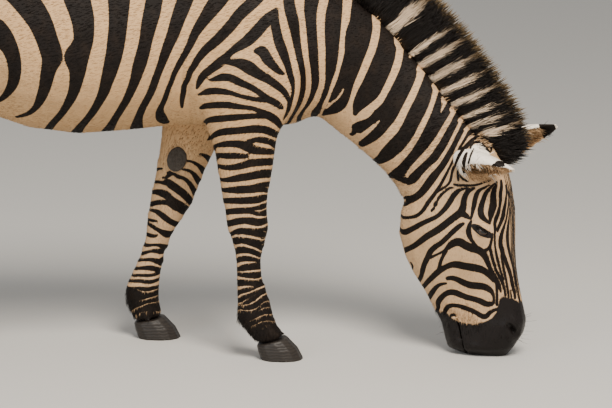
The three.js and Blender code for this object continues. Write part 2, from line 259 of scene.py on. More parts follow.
# %% [markdown]
# An ear is a rolled leaf. Each of its rings is a thick letter C: an arc round the outside, then back
# along the inside. The gap of the C widens from the base to the tip, and it points down and out.
# %% Ears
EARS = {
    "right": {"base": (0.752, -0.084, 0.566), "tip": (0.925, -0.148, 0.556), "opens": (0.0, -0.50, -0.87)},
    "left": {"base": (0.780, 0.072, 0.562), "tip": (0.985, 0.128, 0.638), "opens": (0.0, -0.72, -0.69)},
}
EAR_HALF_WIDTHS = (0.040, 0.053, 0.059, 0.058, 0.052, 0.044, 0.034, 0.022, 0.009)
EAR_GAPS = (4, 12, 36, 52, 62, 66, 68, 70, 70)
EAR_STATIONS = np.linspace(0, 1, len(EAR_HALF_WIDTHS))
EAR_DEPTH = 0.60
EAR_WALL = 0.0095
EAR_WALL_MOST = 0.6
EAR_PLUG = 0.9
EAR_PLUG_FADE = (0.06, 0.20)
EAR_RINGS = 40
EAR_SIDES = 22


def ear_frame(side):
    """The ear's base, its length as a vector, and unit vectors across it and out of its opening."""
    base = np.array(EARS[side]["base"])
    run = np.array(EARS[side]["tip"]) - base
    way = run / np.linalg.norm(run)
    opens = np.array(EARS[side]["opens"])
    opens = opens - way * opens.dot(way)
    opens /= np.linalg.norm(opens)
    return base, run, np.cross(way, opens), opens


def with_ears(work):
    """Adds both ears to a bmesh, in their turned places."""
    for side in EARS:
        base, run, across, opens = ear_frame(side)
        rings = []
        for ring in range(EAR_RINGS):
            share = ring / (EAR_RINGS - 1)
            width = np.interp(share, EAR_STATIONS, EAR_HALF_WIDTHS)
            gap = math.radians(np.interp(share, EAR_STATIONS, EAR_GAPS))
            plug = float(1 - ramp(share, *EAR_PLUG_FADE))
            wall = min(EAR_WALL, EAR_WALL_MOST * width) * (1 - plug) + EAR_PLUG * width * EAR_DEPTH * plug
            angles = np.linspace(math.pi / 2 + gap, 2.5 * math.pi - gap, EAR_SIDES)
            outer = [across * math.cos(a) * width + opens * math.sin(a) * width * EAR_DEPTH
                     for a in angles]
            inner = [across * math.cos(a) * (width - wall) + opens * math.sin(a) * (width * EAR_DEPTH - wall)
                     for a in angles[::-1]]
            places = turned(np.array(outer + inner) + base + run * share)
            rings.append([work.verts.new(place) for place in places])
        for first, second in zip(rings, rings[1:]):
            for number in range(len(first)):
                after = (number + 1) % len(first)
                work.faces.new((first[number], first[after], second[after], second[number]))
        work.faces.new(rings[0][::-1])
        work.faces.new(rings[-1])
    bmesh.ops.recalc_face_normals(work, faces=work.faces[:])


print("ears are", [round(float(np.linalg.norm(ear_frame(side)[1])), 3) for side in EARS], "metres long")


# %% [markdown]
# The camera stands eight metres off on the animal's right and looks a little down. Its lens is
# worked out from the width of its view in points. It is made early, as the pattern is later drawn by
# laying strokes on the skin as they are seen from here.
# %% Camera
CAMERA_AHEAD = 0.2986
CAMERA_AWAY = 8.0
CAMERA_HEIGHT = 2.0
CAMERA_PITCH = math.radians(11.21)
FOCAL_POINTS = 2893
VIEW_WIDTH = 612
VIEW_HEIGHT = 408
SENSOR_WIDTH = 36
camera_data = bpy.data.cameras.new("camera")
camera_data.sensor_width = SENSOR_WIDTH
camera_data.lens = FOCAL_POINTS / VIEW_WIDTH * SENSOR_WIDTH
camera = bpy.data.objects.new("camera", camera_data)
camera.location = (CAMERA_AHEAD + AHEAD[0], -CAMERA_AWAY, CAMERA_HEIGHT)
camera.rotation_euler = (math.pi / 2 - CAMERA_PITCH, 0, 0)
bpy.context.scene.collection.objects.link(camera)
bpy.context.scene.camera = camera
print("camera lens", round(camera_data.lens, 1), "mm")

# %% [markdown]
# The flesh is remade in two grains. The trunk, neck and legs get coarse squares. The head and ears
# get fine ones, since small forms such as lids and lips need them. Both are cut by one slanting
# plane through the neck and the two rims are bridged, which leaves a single closed skin.
# %% Remake the flesh as one skin
BODY_CELL = 0.0140
HEAD_CELL = 0.0051
NECK_CUT_PLACE = (0.63, 0.0, 0.623)
NECK_CUT_WAY = (0.80, 0.0, -0.60)
RIM_GAP = 0.005
NECK_ZONE = 0.42
COARSE_SMOOTHING = 16
FINE_SMOOTHING = 10
SEAM_SMOOTHING = 12
SEAM_FADE = (0.020, 0.050)
flesh_names = [n for n in nodes if n.startswith(("trunk", "neck", "head", "muzzle", "ear", "tail_dock"))]
flesh_names += [n for n in nodes if n.startswith(("foreleg", "hindleg")) and not n.endswith("hoof")]
coarse_names = [n for n in flesh_names if not n.startswith(("ear", "muzzle"))]
fine_names = ["neck_base", "neck_upper", "head", "muzzle", "eye_right", "eye_left"]


def before_neck_cut(points):
    """How far each point lies in front of the slanting plane."""
    way = np.array(NECK_CUT_WAY) / np.linalg.norm(NECK_CUT_WAY)
    return (points - np.array(NECK_CUT_PLACE)) @ way


def cut_away(made, keep_front, gap):
    """Keeps one side of the slanting plane through the straightened neck."""
    way = Vector(NECK_CUT_WAY).normalized()
    place = Vector(NECK_CUT_PLACE) + way * gap
    with editing(made.data) as work:
        parts = work.verts[:] + work.edges[:] + work.faces[:]
        if not keep_front:
            parts = [part for part in parts
                     if all(vert.co.x > NECK_ZONE for vert in getattr(part, "verts", [part]))]
        bmesh.ops.bisect_plane(work, geom=parts, plane_co=place, plane_no=way,
                               clear_inner=keep_front, clear_outer=not keep_front)


def bridged(name, first, second):
    mesh = bpy.data.meshes.new(name)
    with editing(mesh) as work:
        work.from_mesh(first.data)
        work.from_mesh(second.data)
        rims = [edge for edge in work.edges if edge.is_boundary]
        bmesh.ops.bridge_loops(work, edges=rims)
        bmesh.ops.recalc_face_normals(work, faces=work.faces[:])
        print(name, "open edges left:", sum(edge.is_boundary for edge in work.edges))
    for old in (first, second):
        bpy.data.objects.remove(old)
    return new_object(name, mesh)


# %% [markdown]
# Both grains are made and straightened, then cut and joined. A little smoothing along the join takes
# its edge away.
# %% Join the two grains
coarse = remeshed("coarse_body", coarse_names, BODY_CELL)
smooth(coarse.data, COARSE_SMOOTHING)
fine = remeshed("fine_head", fine_names, HEAD_CELL, with_ears)
smooth(fine.data, FINE_SMOOTHING)
for made in (coarse, fine):
    set_points(made.data, straightened(points_of(made.data)))
cut_away(coarse, False, -RIM_GAP)
cut_away(fine, True, RIM_GAP)
skin = bridged("skin", coarse, fine)
places = points_of(skin.data)
near_seam = 1 - ramp(np.abs(before_neck_cut(places)), *SEAM_FADE)
smooth(skin.data, SEAM_SMOOTHING, weight=near_seam * (places[:, 0] > NECK_ZONE))
print("skin has", len(skin.data.polygons), "faces")

# %% [markdown]
# The solids have an open wedge between the lips. Both lips are drawn towards the wedge's middle
# line, most at its edges, until only a fine slit is left.
# %% Close the mouth
MOUTH_FRONT = ((0.796, -0.020), (0.748, 0.112))
MOUTH_BACK = ((0.762, -0.020), (0.739, 0.112))
MOUTH_SLIT = 0.0020
MOUTH_MIDDLE = 0.65
MOUTH_TOP = (0.108, 0.125)
LIP_REACH = 0.080


def closed_mouth(points):
    height = points[:, 2]
    front, back = [np.interp(height, (low[1], high[1]), (low[0], high[0]))
                   for low, high in (MOUTH_FRONT, MOUTH_BACK)]
    middle = (1 - MOUTH_MIDDLE) * front + MOUTH_MIDDLE * back
    in_front = points[:, 0] > middle
    edge = np.where(in_front, front, back)
    pull = np.maximum(np.abs(edge - middle) - MOUTH_SLIT / 2, 0)
    fade = 1 - ramp(np.abs(points[:, 0] - edge), 0.0, LIP_REACH)
    below = 1 - ramp(height, *MOUTH_TOP)
    moved = points.copy()
    moved[:, 0] -= np.where(in_front, 1, -1) * pull * fade * below
    return moved


places = points_of(skin.data)
set_points(skin.data, closed_mouth(places))
print("lips moved by up to", round(float(np.abs(points_of(skin.data) - places).max()), 4), "metres")

# %% [markdown]
# Refining splits the edges that lie inside a region, and leaves the rest coarse.
# %% Finer squares on the legs, eyes, nostrils and mouth
EYE_PLACE = np.array([0.822, 0.085, 0.374])
EYE_RADIUS = 0.021
NOSTRIL_PLACE = np.array([0.905, 0.040, 0.085])
FINER_BALLS = ((EYE_PLACE, 0.050), (EYE_PLACE, 0.034), (NOSTRIL_PLACE, 0.055), (NOSTRIL_PLACE, 0.034))
LEG_TOP = 0.52
LEGS_AHEAD = 0.5
FINER_SMOOTHING = 3
FULL_SHARE = 0.6


def mirrored(points):
    """The same places with both halves of the animal folded on to one."""
    folded = points.copy()
    folded[:, 1] = np.abs(folded[:, 1])
    return folded


def split_edges(mesh, chosen):
    """Splits each chosen edge in two, and makes triangles of the faces that this leaves uneven."""
    with editing(mesh) as work:
        parts = [work.edges[number] for number in np.nonzero(chosen)[0]]
        bmesh.ops.subdivide_edges(work, edges=parts, cuts=1, use_grid_fill=True)
        bmesh.ops.triangulate(work, faces=[face for face in work.faces if len(face.verts) > 4])


def refine(mesh, inside):
    """Splits every edge whose ends are both inside."""
    split_edges(mesh, inside[edges_of(mesh)].all(axis=1))


def distance_to(points, place):
    return np.linalg.norm(mirrored(points) - place, axis=1)


def weight_near(points, place, radius):
    return 1 - ramp(distance_to(points, place), radius * FULL_SHARE, radius)


def on_legs(points, top):
    return (points[:, 2] < top) & (points[:, 0] < LEGS_AHEAD)


refine(skin.data, on_legs(points_of(skin.data), LEG_TOP))
smooth(skin.data, FINER_SMOOTHING, weight=on_legs(points_of(skin.data), LEG_TOP + BODY_CELL))
for place, radius in FINER_BALLS:
    refine(skin.data, distance_to(points_of(skin.data), place) < radius)
    smooth(skin.data, FINER_SMOOTHING, weight=weight_near(points_of(skin.data), place, radius))
print("refined skin has", len(skin.data.polygons), "faces")

# %% [markdown]
# Sculpting by numbers. A brush lifts the skin along its own outward direction. It is strongest at
# its middle and fades over its three reaches, which are measured ahead, sideways and up. The same
# brush works on both halves, since it looks at the distance from the middle plane.
# %% Sculpt the head
def brushed(points, normals, place, reach, lift, lean=0.0, side=0):
    """Adds one soft swelling, or a hollow where lift is below zero. lean turns it in side view."""
    away = mirrored(points) - np.array(place)
    ahead = away[:, 0] * math.cos(lean) + away[:, 2] * math.sin(lean)
    up = -away[:, 0] * math.sin(lean) + away[:, 2] * math.cos(lean)
    size = (ahead / reach[0]) ** 2 + (away[:, 1] / reach[1]) ** 2 + (up / reach[2]) ** 2
    one_side = np.where(side * points[:, 1] < 0, 0.0, 1.0)
    return points + normals * (lift * np.exp(-size) * one_side)[:, None]


def sculpted(brushes):
    """Runs brushes over the skin, one after another."""
    places = points_of(skin.data)
    for brush in brushes:
        places = brushed(places, normals_of(skin.data), *brush)
        set_points(skin.data, places)


HEAD_BRUSHES = [
    ((0.800, 0.100, 0.385), (0.030, 0.05, 0.022), 0.006, 0.2),
    ((0.812, 0.095, 0.415), (0.022, 0.05, 0.010), 0.004, 0.5),
    ((0.860, 0.075, 0.395), (0.016, 0.05, 0.022), -0.005, 0.0),
    ((0.770, 0.090, 0.300), (0.012, 0.06, 0.070), 0.004, -0.25),
    ((0.640, 0.085, 0.390), (0.065, 0.05, 0.065), 0.006, 0.0),
    ((0.760, 0.065, 0.210), (0.030, 0.05, 0.055), -0.006, -0.2),
    ((0.905, 0.045, 0.105), (0.026, 0.04, 0.034), 0.006, 0.2),
    ((0.700, 0.050, 0.120), (0.014, 0.05, 0.05), -0.003, 0.0),
]
sculpted(HEAD_BRUSHES)
print(len(HEAD_BRUSHES), "brushes shaped the head")

# %% [markdown]
# The same brush gives the body its muscles and creases. The last number of a row keeps a brush to
# one side: below zero for the right legs, above zero for the left ones, which stand elsewhere.
# %% Sculpt the body
BODY_BRUSHES = [
    ((-0.030, 0.19, 0.760), (0.016, 0.12, 0.120), -0.010, 0.15, 0),
    ((0.060, 0.20, 0.740), (0.060, 0.12, 0.090), 0.008, 0.0, 0),
    ((0.040, 0.18, 1.000), (0.040, 0.14, 0.170), 0.007, 0.30, 0),
    ((0.120, 0.18, 0.960), (0.018, 0.14, 0.140), -0.005, 0.30, 0),
    ((0.250, 0.13, 0.830), (0.022, 0.12, 0.120), -0.008, -0.35, 0),
    ((0.210, 0.14, 0.760), (0.050, 0.12, 0.060), 0.008, 0.0, 0),
    ((-0.540, 0.20, 0.780), (0.030, 0.14, 0.090), -0.014, -0.35, 0),
    ((-0.620, 0.20, 0.760), (0.050, 0.12, 0.070), 0.012, 0.0, 0),
    ((-0.600, 0.18, 1.110), (0.045, 0.10, 0.040), 0.010, -0.30, 0),
    ((-0.800, 0.20, 0.960), (0.110, 0.16, 0.120), 0.008, 0.0, 0),
    ((-0.905, 0.12, 0.860), (0.018, 0.14, 0.140), -0.008, 0.15, 0),
    ((-0.700, 0.10, 1.215), (0.200, 0.05, 0.030), 0.004, 0.0, 0),
    ((0.185, 0.12, 0.560), (0.035, 0.10, 0.060), 0.006, 0.0, -1),
    ((0.105, 0.12, 0.470), (0.012, 0.10, 0.070), -0.004, 0.0, -1),
    ((0.200, 0.12, 0.372), (0.020, 0.06, 0.022), 0.004, 0.0, -1),
    ((0.170, 0.12, 0.230), (0.008, 0.08, 0.070), -0.004, 0.0, -1),
    ((-0.030, 0.12, 0.560), (0.035, 0.10, 0.060), 0.006, 0.35, 1),
    ((-0.100, 0.12, 0.230), (0.008, 0.08, 0.070), -0.004, 0.30, 1),
]
sculpted(BODY_BRUSHES)
print(len(BODY_BRUSHES), "brushes shaped the body")

# %% [markdown]
# The eyelids wrap round the ball. Outside an almond shape the skin is laid on a slightly larger
# ball, and inside it the skin sinks behind the eye, so the ball shows between two lids.
# %% Lids
LID_DEPTH = 0.0024
LID_REACH = 0.034
LID_FADE_STARTS = 0.0245
LID_SINK = 0.004
LID_EDGE = (0.80, 1.12)
LID_SMOOTHING = 0.6
LID_SMOOTH_REACH = 0.045
OPENING_HALF_LENGTH = 0.0205
OPENING_HALF_HEIGHT = 0.0085
OPENING_LEAN = math.radians(-33)
UPPER_CURVE = 0.8
LOWER_CURVE = 1.2
LOWER_SHARE = 0.75
CORNER_STEEPNESS = 4


def eye_plane(points):
    """How far along the lid slit, and how far above it, each point of the face lies."""
    away = mirrored(points) - EYE_PLACE
    along = away[:, 0] * math.cos(OPENING_LEAN) + away[:, 2] * math.sin(OPENING_LEAN)
    above = -away[:, 0] * math.sin(OPENING_LEAN) + away[:, 2] * math.cos(OPENING_LEAN)
    return along, above


def opening_value(points):
    """Below 1 inside the almond between the lids, above 1 outside it."""
    along, above = eye_plane(points)
    share = np.clip(1 - (along / OPENING_HALF_LENGTH) ** 2, 1e-4, 1)
    upper = OPENING_HALF_HEIGHT * share ** UPPER_CURVE
    lower = LOWER_SHARE * OPENING_HALF_HEIGHT * share ** LOWER_CURVE
    height = np.where(above > 0, upper, lower)
    past_corner = np.maximum(np.abs(along) / OPENING_HALF_LENGTH - 1, 0)
    return np.abs(above) / height + CORNER_STEEPNESS * past_corner


def with_lids(points):
    away = mirrored(points) - EYE_PLACE
    length = np.linalg.norm(away, axis=1)
    facing = away[:, 1] > -LID_SINK
    value = opening_value(points)
    on_lid = EYE_RADIUS + LID_DEPTH
    hidden = EYE_RADIUS - LID_SINK
    wanted = hidden + (on_lid - hidden) * ramp(value, *LID_EDGE)
    near = (1 - ramp(length, LID_FADE_STARTS, LID_REACH)) * facing
    inside = value < 1.0
    amount = np.where(inside & facing & (length < LID_REACH), 1.0, near)
    target = np.maximum(length, wanted)
    target = np.where(value < LID_EDGE[1], wanted, target)
    scale = 1 + amount * (target / np.maximum(length, 1e-5) - 1)
    moved = EYE_PLACE + away * scale[:, None]
    moved[:, 1] *= np.where(points[:, 1] < 0, -1, 1)
    close = length < LID_REACH
    return np.where(close[:, None], moved, points)


# %% [markdown]
# Fine creases run round the upper lid. The nostrils are hollows in a raised rim, and the same brush
# makes them, with the lips, the chin and the groove between the nostrils.
# %% Folds and nostrils
LID_FOLDS = ((1.75, 0.16, -0.0016), (2.15, 0.20, 0.0010), (2.75, 0.22, -0.0014), (3.25, 0.25, 0.0008))
FOLD_FADE = (0.024, 0.042)
FOLD_BELOW = 0.45


def with_folds(points, normals):
    """Creases run round the upper lid, one above the other."""
    value = opening_value(points)
    along, above = eye_plane(points)
    near = 1 - ramp(distance_to(points, EYE_PLACE), *FOLD_FADE)
    share = near * np.where(above > 0, 1.0, FOLD_BELOW)
    lift = sum(height * np.exp(-((value - at) / wide) ** 2) for at, wide, height in LID_FOLDS)
    return points + normals * (lift * share)[:, None]


set_points(skin.data, with_lids(points_of(skin.data)))
smooth(skin.data, 2, weight=LID_SMOOTHING * weight_near(points_of(skin.data), EYE_PLACE, LID_SMOOTH_REACH))
set_points(skin.data, with_folds(points_of(skin.data), normals_of(skin.data)))
NOSTRIL_BRUSHES = [
    ((0.905, 0.050, 0.082), (0.026, 0.04, 0.030), 0.007, 0.45),
    ((0.907, 0.052, 0.078), (0.0085, 0.03, 0.0175), -0.022, 0.45),
    ((0.893, 0.052, 0.096), (0.0060, 0.03, 0.0080), -0.006, 0.45),
    ((0.905, 0.000, 0.060), (0.020, 0.008, 0.030), -0.003, 0.0),
    ((0.800, 0.040, 0.030), (0.030, 0.05, 0.014), 0.005, 0.0),
    ((0.740, 0.040, 0.035), (0.022, 0.05, 0.020), 0.005, 0.0),
    ((0.735, 0.045, 0.118), (0.020, 0.04, 0.007), -0.005, -0.5),
    ((0.840, 0.050, 0.120), (0.040, 0.04, 0.014), -0.003, -0.3),
]
for brush in NOSTRIL_BRUSHES:
    sculpted([brush])
print("the slit between the lids is", 2 * OPENING_HALF_LENGTH, "metres long")

# %% [markdown]
# The skin lies under the hair, so it sinks by the depth of the coat, less on the face and legs.
# %% Sink the skin by the coat's depth
COAT_DEPTH = 0.003
LESS_ON_FACE = 0.6
LEG_FADE = (0.45, 0.65)
FACE_FADE = (0.60, 0.75)
EYE_FADE = (0.028, 0.05)
places = points_of(skin.data)
short_hair = np.maximum(1 - ramp(places[:, 2], *LEG_FADE), ramp(places[:, 0], *FACE_FADE))
depth = COAT_DEPTH * (1 - LESS_ON_FACE * short_hair) * ramp(distance_to(places, EYE_PLACE), *EYE_FADE)
set_points(skin.data, places - normals_of(skin.data) * depth[:, None])
straight_skin = points_of(skin.data)
set_points(skin.data, turned(straight_skin))
print("head reaches", round(float(straight_skin[:, 0].max()), 3), "ahead")

# %% [markdown]
# The coat's pattern is drawn as strokes. Each stroke is a row of places seen from the camera, as
# (right, down, half its width), in points of its view. Dark strokes are laid first and pale ones cut
# back into them, as a signwriter would. Long bands run past the edge of the body, so that they
# carry on under the belly and round the legs.
# %% Strokes of the flank and shoulder
FLANK_DARK = [
    [(-4,30,11), (2,37,10.5), (8,45,8.5), (12.5,55,7.2), (14.5,65,6.5), (14.5,75,5.8), (12.5,84,4.8), (8,92,3.3),
     (2,98.5,2), (-4,102,1)],
    [(13,-14,13), (25,0,12.5), (39,20,11.3), (47.2,40,10.2), (52,55,10.2), (51.7,60,9.2), (50,65,7.6), (48.5,70,7),
     (46.4,80,6), (44,90,5.2), (40,100,4), (36,107,2.6), (30,112.5,1.9), (23,115.5,1.3), (16,117,0.6)],
    [(72,-16,12.5), (77.5,0,12.2), (82.9,20,10.6), (83.7,38,9.3), (82,45,9.4), (79.5,51,10.4), (76.6,57,11.6),
     (77,63,9.8), (77.5,70,7.9), (76.3,80,6.2), (74.2,90,5), (71,98,4.3), (66,107,3.3), (60.5,115,2.8), (54,122,2.8),
     (48.5,129,3), (43,138,3), (39,150,3)],
    [(118,-16,11), (119,0,10.4), (118.4,20,8.8), (116.4,40,8.3), (114,55,7.8), (110.2,70,6.8), (107.2,80,5.8),
     (103.7,92,4.7), (98.2,103,3.6), (92.7,112,3.2), (86.5,120,2.9), (80.5,127,3.4), (76.5,133,4.4), (71,142,4),
     (68,152,3)],
    [(158,-16,8), (154.3,0,7.7), (152.1,12,7.9), (149,25,7.2), (146.3,38,6.1), (143.7,50,6), (141,60,6.1),
     (138,70,5.6), (135.1,80,4.5), (131.2,90,3.8), (126.5,100,3.3), (121.8,108,3), (115.6,118,2.9), (111,126,3.6),
     (107.3,132,5), (104,140,5), (101,150,4)],
    [(191,-16,7.5), (185.2,0,7.2), (181.3,10,7), (177,22,6.3), (172.7,35,5.5), (168.5,45,4.8), (164.7,55,4.2),
     (161.1,65,3.4), (158,73,3.2), (154.7,82,3.3), (151.5,91,3.1), (146.8,100,2.9), (142.5,108,3), (138.9,117,3.3),
     (137.3,124,4.8), (136.5,130,6), (135,140,6), (134,152,4)],
    [(230,-16,8.5), (218.5,0,7.9), (211,10,6.9), (205.3,18,5.6), (199,27,4.6), (194.2,35,3.8), (190.5,44,3.2),
     (184.5,55,2.6), (179.3,64,2.5), (174.6,73,2), (171.7,81,1.8), (168,90,1.9), (164.5,100,2), (161.2,107,2.1),
     (160,112,3.5), (161.3,117.5,5), (163.5,120.5,4.4), (166,121.5,3)],
    [(268,-16,7), (254,1,6), (240,14,5.5), (230.5,26,5.2), (217,40,4.6), (206.5,49,3.9), (198,59,3.1), (194,66,2.7),
     (190,72,2.4), (188,79,2), (184.3,85,2.1), (183.5,92,2.2), (182,100,1.8), (182,107,0.8)],
    [(276,11,2.6), (271,16,4.6), (265,22,5.5), (257.5,31,5.7), (250.5,38,5.5), (245,42.7,4.9), (237,47.5,3.8),
     (231,52,3), (226,57,3.4), (220,62.5,4.3), (212,68.5,3.6), (206,73,3.4), (201.5,78,3.1), (198.5,84,2),
     (197,88,0.8)],
    [(276,11,2.6), (274.5,18,4.2), (275.3,25,4.3), (276.8,33,4.4), (279,42,4.6), (282.3,50,4.6), (285.5,58,4.1),
     (288,66,3.1), (290,74,2.9), (292,81,2.4), (293.4,88,1.5), (292.6,95,1.2), (291.3,100,1.6), (289.6,105,2),
     (288.3,110,1.5), (286,115,1.1), (283.5,119,0.7)],
    [(255,51.5,1.2), (259,51,3.6), (263,51.8,5), (267,58.5,5), (271.5,64,4.2), (276.5,69,3.2), (280.5,72.3,2.1),
     (284,74,0.9)],
    [(224,60,3), (232,62.5,2.8), (240,63.5,4.6), (248,67,6), (255,71.8,5.3), (262,76,4.6), (270,80.5,3.8),
     (277,85.5,3.4), (283,90.5,2.8), (287,96,2.3), (289,101,1.6), (289.3,105,1.4)],
    [(210,80,0.7), (216,78.8,2), (222,77.3,3.3), (228,77.3,3.4), (234,79.3,3.5), (240,82.5,3.3), (246,85,3),
     (252,88,2.8), (258,91.5,2.7), (263,95.3,2.8), (268,99,3.2), (274,102,3.3), (279,105.3,2.8), (282,108,1.6)],
    [(199,94.8,0.7), (204,93,1.9), (209,91.4,2.8), (216,91,2.7), (224,91.6,2.5), (231,93,1.9), (238,95.4,1.7),
     (244,97,1.8), (251,98.4,1.8), (258,99.8,1.9), (265,100,2.6)],
]
print("dark strokes on the flank:", len(FLANK_DARK))

# %% [markdown]
# The foreleg's bands wrap round it as narrow rings. Low down they lie so close together that the leg
# is dark, with pale lines cut into it.
# %% Strokes of the nearer foreleg
NEAR_FORE_DARK = [
    [(201,108,1.2), (206,106,2.3), (212,105.4,2.6), (220,104.9,2.8), (228,105.1,2.9), (236,106.3,2.6),
     (244,107.3,2.1), (251,108,1.9), (258,110.3,2.2), (264,113.5,3.4), (270,116.3,3.9), (275,119.5,3.7),
     (279,124,2.6), (283,130,1.5)],
    [(205,122,1), (210,120,2.4), (217,119,2.9), (226,118.2,3), (236,117.3,2.8), (244,116.7,2.6), (251,116.2,2.5),
     (258,116,2.5), (266,115.5,3)],
    [(206,142,0.6), (211,138,1), (215,134.8,2), (221,132.4,3), (229,131.2,3.2), (238,130.6,3.2), (246,129.7,3.4),
     (254,129,3.7), (262,129.2,3.8), (269,131,3.7), (275,134,3.2), (283,139,2.8)],
    [(206,150,0.5), (213,146.8,0.7), (219,145.2,1.8), (226,144,2.8), (234,143.8,3.1), (241,144.5,3.8),
     (247,146.5,4.6), (252,149,4.6), (258,150.5,3.9), (265,151.3,3.1), (273,151.8,2.6), (283,152.5,2.5)],
    [(249,142,2.8), (255,139.9,2.2), (261,139.8,3), (267,141,3), (273,143.2,2.7), (281,147,2.4)],
    [(208,154,0.6), (213,154.6,0.9), (219,155.3,2), (226,155.8,2.6), (234,155.8,2.8), (240,156,2.6), (245,156.3,1.8),
     (248.5,156.4,0.8)],
    [(208,160,0.6), (215,163.4,0.9), (219,166,1.6), (224,167.3,2.2), (231,167.6,2.6), (238,166.5,3), (245,164.7,3.4),
     (252,163,3.7), (260,162.2,3.7), (268,161.8,3.5), (282,161.5,3.2)],
    [(209,172,0.6), (217,177.6,0.8), (221,179.6,1.5), (227,179.9,2.1), (234,178.9,3.1), (241,177.5,3.6),
     (248,176.6,3.7), (255,175.2,3.9), (262,173.8,4.2), (270,173.5,4.2), (281,174,4)],
    [(211,189,0.6), (219.5,189.5,1), (225,190.2,2.1), (232,190,3), (239,189.8,3.8), (247,189.3,3.8), (254,188.7,4.1),
     (261,187.2,4.7), (269,186.7,5.5), (280,186.7,5.3)],
    [(212,201,2), (221,200.7,2.2), (230,200.7,2.8), (240,200.7,3.2), (250,200.3,3.4), (257,199.6,3.7), (263,198,3.3),
     (269,197.3,2), (279,197,1.5)],
    [(213,213,2.2), (223,212.3,2.3), (232,211.3,2.8), (240,210.8,3), (250,210.5,3.2), (258,210.7,5), (264,209.5,6.3),
     (270,208.5,6.5), (279,208,6.5)],
    [(215,225,2.5), (225,224,2.8), (232,222.7,2.9), (238,221.3,3.2), (245,220.6,3.1), (252,221.4,3.6),
     (259,222.4,3.5), (265,221,3), (278,219.5,2.3)],
    [(222,239,2), (230,235.5,2), (235,232.6,2.5), (241,231,3), (248,231.6,3.2), (255,232.3,3.8), (262,232.5,4.6),
     (268,231.5,5.5), (278,230,5.5)],
    [(224,242,4), (235,240,4.5), (246,241,5.5), (257,243,6), (266,244,6), (277,244,5)],
    [(222,254,7.5), (249,254,7.5), (277,254,7.5)],
    [(222,268,9), (249,268,9), (277,268,9)],
    [(222,284,9), (249,284,9), (280,284,9)],
    [(222,300,11), (255,300,11), (288,300,11)],
    [(222,320,14), (260,320,14), (300,320,14)],
    [(240,345,18), (270,345,18), (310,345,18)],
]
NEAR_FORE_PALE = [
    [(265.5,187,0.6), (272,188.5,0.9)],
    [(254.5,210.7,0.8), (260,210.7,1), (265,209,1), (273,205.5,1)],
    [(263.5,231.3,0.6), (273,231.5,0.8)],
    [(222,243,1), (231,238,1.4), (235,235.9,1.5), (240,235.6,1.6), (246,236.4,1.6), (252,237.2,1.5), (258,238.6,1.4),
     (263,239.7,1.1), (272,240,0.8)],
    [(262,245,0.8), (270,242,1)],
    [(225,253,1.5), (234,247.7,1.7), (237,245.7,1.6), (242,244.8,1.6), (248,246.3,1.5), (254,248.3,1.4),
     (259,250.5,1.2), (263,252.3,1), (274,256,1)],
    [(226,261,1.7), (235,257.3,1.8), (238,255.3,1.8), (244,254.5,1.6), (250,255,1.6), (255,256.6,1.3),
     (260,258.2,1.1), (264,257.5,1), (274,255,1)],
    [(226,269,2.3), (236,266,2.3), (240,263.8,2), (246,262.6,1.7), (252,262.3,1.2), (257,262.3,0.7)],
    [(261,266.5,0.9), (272,265,1)],
    [(226,272.5,1), (237,272,1), (242,271.8,1.4), (249,271.5,1.5), (256,270.8,1.6), (261,270.6,1.5), (265,272,1.1),
     (275,274,1)],
    [(225,276.5,3), (236,277.5,2.8), (240,278,2), (246,278.7,1.6), (252,279.3,1.5), (257,279.2,1.5), (262,277.5,1.4),
     (265,276,1.3), (276,273,1.2)],
    [(226,290,2.2), (237,288.5,2.2), (242,287.3,1.7), (248,286.5,1.3), (254,286.3,0.7)],
    [(228,304,1), (237.5,298,1.1), (241,295,1.2), (247,293.3,1.2), (253,291,1.2), (258,288.8,1.4), (263,286.8,1.4),
     (268,284.5,1.3), (278,281,1.2)],
    [(228,306,0.9), (237,304,0.9), (242,302.5,0.9), (247,299.5,0.7), (250,297.5,0.6), (256,294.5,0.5)],
    [(230,306.5,0.6), (240,305.5,0.8), (246,305,0.8), (252,303,1), (257,299.8,1.1), (262,295.7,1.1), (267,293.6,1),
     (272,294,0.9), (282,297,0.9)],
    [(229,309.5,0.8), (238,309.7,0.8), (246,310.5,0.7), (252,310.3,0.8), (257,308,0.6), (262,303.7,0.7),
     (266,301.4,0.7), (272,301.3,0.7), (284,302,0.6)],
    [(258,311.5,0.4), (262,309,0.7), (266,307.6,0.7), (273,307.5,0.6), (284,309,0.6)],
    [(250,321,0.5), (256,318.5,0.7), (262,315.8,0.8), (266,314.6,0.7), (273,315.2,0.6), (284,318,0.5)],
    [(251,327,0.5), (256,324.5,0.6), (262,322,0.7), (268,321,0.6), (276,322,0.5)],
    [(261,329,0.3), (265,325.8,0.4), (270,325,0.4)],
]
print("strokes on the nearer foreleg:", len(NEAR_FORE_DARK), "dark,", len(NEAR_FORE_PALE), "pale")

